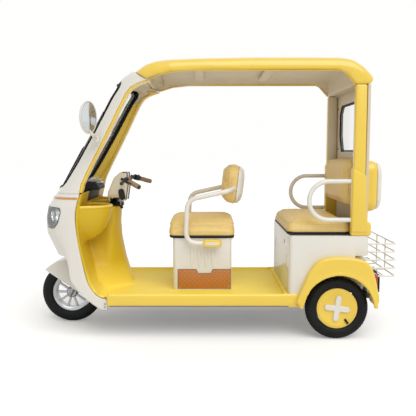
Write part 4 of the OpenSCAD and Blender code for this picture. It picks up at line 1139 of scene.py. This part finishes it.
def tyre_shape(node_name, count):
    """A tyre at the origin: a spun casing with sidewall ribs, and rows of tread blocks set round it."""
    low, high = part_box(node_name)
    outer, half = (high.z - low.z) / 2, (high.y - low.y) / 2
    hoop = outer - half
    profile = []
    for i in range(33):
        angle = math.radians(-128 + 256 * i / 32)
        depth = groove_depth if abs(math.degrees(angle)) < 46 else 0.0
        rib_out = 0.0016 if 62 < abs(math.degrees(angle)) < 74 else 0.0
        reach = half - depth + rib_out
        profile.append((max(hoop + reach * math.cos(angle), bead_r), reach * math.sin(angle)))
    tyre_parts = [spun(node_name + "_casing", profile, 96)]
    pitch = 2 * math.pi * outer / count
    for tilt, width, phase, slant in ((-33, 0.62, 0.5, 0.35), (0, 0.5, 0.0, -0.35), (33, 0.62, 0.5, 0.35)):
        block = fresh(bpy.ops.mesh.primitive_cube_add, size=1.0)
        block.scale = (pitch * 0.72, half * width, groove_depth * 2)
        apply_transform()
        for vertex in block.data.vertices:
            vertex.co.x += vertex.co.y * slant
        modify(block, "BEVEL", width=0.0012, segments=1)
        lift = Matrix.Translation((0, 0, half - groove_depth))
        seat = Matrix.Translation((0, 0, hoop)) @ Matrix.Rotation(math.radians(-tilt), 4, "X") @ lift
        for i in range(count):
            turn = Matrix.Rotation(2 * math.pi * (i + phase) / count, 4, "Y")
            tyre_parts.append(duplicate(block, turn @ seat))
        bpy.data.objects.remove(block)
    tyre = join_pieces(node_name + "_casing", tyre_parts)
    smooth_below(35)
    return tyre


rear_tyre = tyre_shape("rear_tyre_left", 50)
for part, tyre in (("front_tyre", tyre_shape("front_tyre", 54)), ("rear_tyre_left", rear_tyre),
                   ("rear_tyre_right", duplicate(rear_tyre))):
    low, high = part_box(part)
    tyre.name = part + "_casing"
    tyre.location = (low + high) / 2
    settle(tyre, bodies_of[part], tread)
    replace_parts(tyre, part)

cross_l, cross_w, cross_t, cross_turn, disc_y = 0.172, 0.040, 0.020, -7.5, 0.432
cross_arm = lozenge("cross_arm", cross_l, cross_w, cross_t)
cross_arm.data.transform(Matrix.Rotation(math.radians(cross_turn), 4, "Y"))
cross = join_pieces("cross", [cross_arm, duplicate(cross_arm, Matrix.Rotation(math.radians(90), 4, "Y"))])
modify(cross, "REMESH", mode="VOXEL", voxel_size=0.002)
modify(cross, "SMOOTH", factor=0.5, iterations=5)
solo(cross)
bpy.ops.object.shade_smooth()
cross.location = (axle_at[0], disc_y, axle_at[1])
settle_pair(cross, "disc_cross", "rear_wheel_{}", white)
valve_out, valve_foot = Vector((-0.58, 0, -0.81)), Vector((axle_at[0], disc_y + 0.004, axle_at[1]))
valve = tube("tyre_valve", [valve_foot + valve_out * r for r in (0.088, 0.100, 0.112, 0.124)], 0.0075)
modify(valve, "BEVEL", width=0.002, segments=2, limit_method="ANGLE")
settle_pair(valve, "tyre_valve", "rear_wheel_{}", seal_rubber)


# Screws: small dished heads, of black plastic on the rear wall and of zinc plated steel
# on the left nose tail and round the brown door. They go straight into the panels.
for y, z in ((0.362, 1.560), (-0.362, 1.560), (0.362, 1.255), (-0.362, 1.255)):
    knob(f"wall_screw_{round(y * 1000)}_{round(z * 1000)}", 0.007, 0.006, (-0.984, y, z), (0, 90, 0),
         "body", grained.material, 0.002)
for x, y, z in ((0.708, 0.428, 0.235), (0.708, 0.428, 0.215),
                (0.222, 0.246, 0.310), (-0.114, 0.246, 0.310)):
    knob(f"panel_screw_{round(x * 1000)}_{round(z * 1000)}", 0.006, 0.004, (x, y, z), (-90, 0, 0),
         "body", zinc.material, 0.0015)


# Studio: a pale floor, a soft sun and an even sky stand in for the photograph's white ground.
# The camera stands where the photograph was taken.
floor_size = 60.0
floor = fresh(bpy.ops.mesh.primitive_plane_add, size=floor_size, location=(0, 0, -0.001))
floor.name = "studio_floor"
pale = Finish("studio_floor", Roughness=0.9, Specular_IOR_Level=0.1)
pale.tones(pale.noise(0.6), "fbfaf8", "fefdfc")
in_view = Field(pale.tree, pale.tree.nodes.new("ShaderNodeLightPath").outputs["Is Camera Ray"])
pale.feed("Emission Color", pale.mix(in_view, (0, 0, 0, 1), (1, 1, 1, 1)))
pale.shader.inputs["Emission Strength"].default_value = 0.2
floor.data.materials.append(pale.material)

world = bpy.data.worlds.new("studio_sky")
world.use_nodes = True
bpy.context.scene.world = world
sky = world.node_tree
background = sky.nodes["Background"]
background.inputs["Color"].default_value = (1.0, 0.995, 0.985, 1.0)
background.inputs["Strength"].default_value = 0.47
backdrop = sky.nodes.new("ShaderNodeBackground")
backdrop.inputs["Color"].default_value = (1.0, 0.995, 0.985, 1.0)
backdrop.inputs["Strength"].default_value = 1.0
path = sky.nodes.new("ShaderNodeLightPath")
seen = Field(sky, path.outputs["Is Camera Ray"])
for other in ("Is Transmission Ray", "Is Glossy Ray"):
    seen = seen.math("MAXIMUM", seen, Field(sky, path.outputs[other]))
chooser = sky.nodes.new("ShaderNodeMixShader")
sky.links.new(seen.socket, chooser.inputs[0])
sky.links.new(background.outputs[0], chooser.inputs[1])
sky.links.new(backdrop.outputs[0], chooser.inputs[2])
sky.links.new(chooser.outputs[0], sky.nodes["World Output"].inputs["Surface"])

sun_data = bpy.data.lights.new("studio_sun", "SUN")
sun_data.energy = 1.8
sun_data.angle = math.radians(55)
sun = bpy.data.objects.new("studio_sun", sun_data)
sun.rotation_euler = (math.radians(-34), math.radians(-15), 0)
bpy.context.scene.collection.objects.link(sun)

lens_mm, eye, pitch_deg = 49.33, (0.028, 4.10, 1.239), 5.71
camera_data = bpy.data.cameras.new("photo_camera")
camera_data.lens = lens_mm
camera_data.sensor_width = 36.0
camera = bpy.data.objects.new("photo_camera", camera_data)
camera.location = eye
camera.rotation_euler = (math.radians(90 - pitch_deg), 0, math.radians(180))
bpy.context.scene.collection.objects.link(camera)
bpy.context.scene.camera = camera
bpy.context.scene.view_settings.view_transform = "Standard"
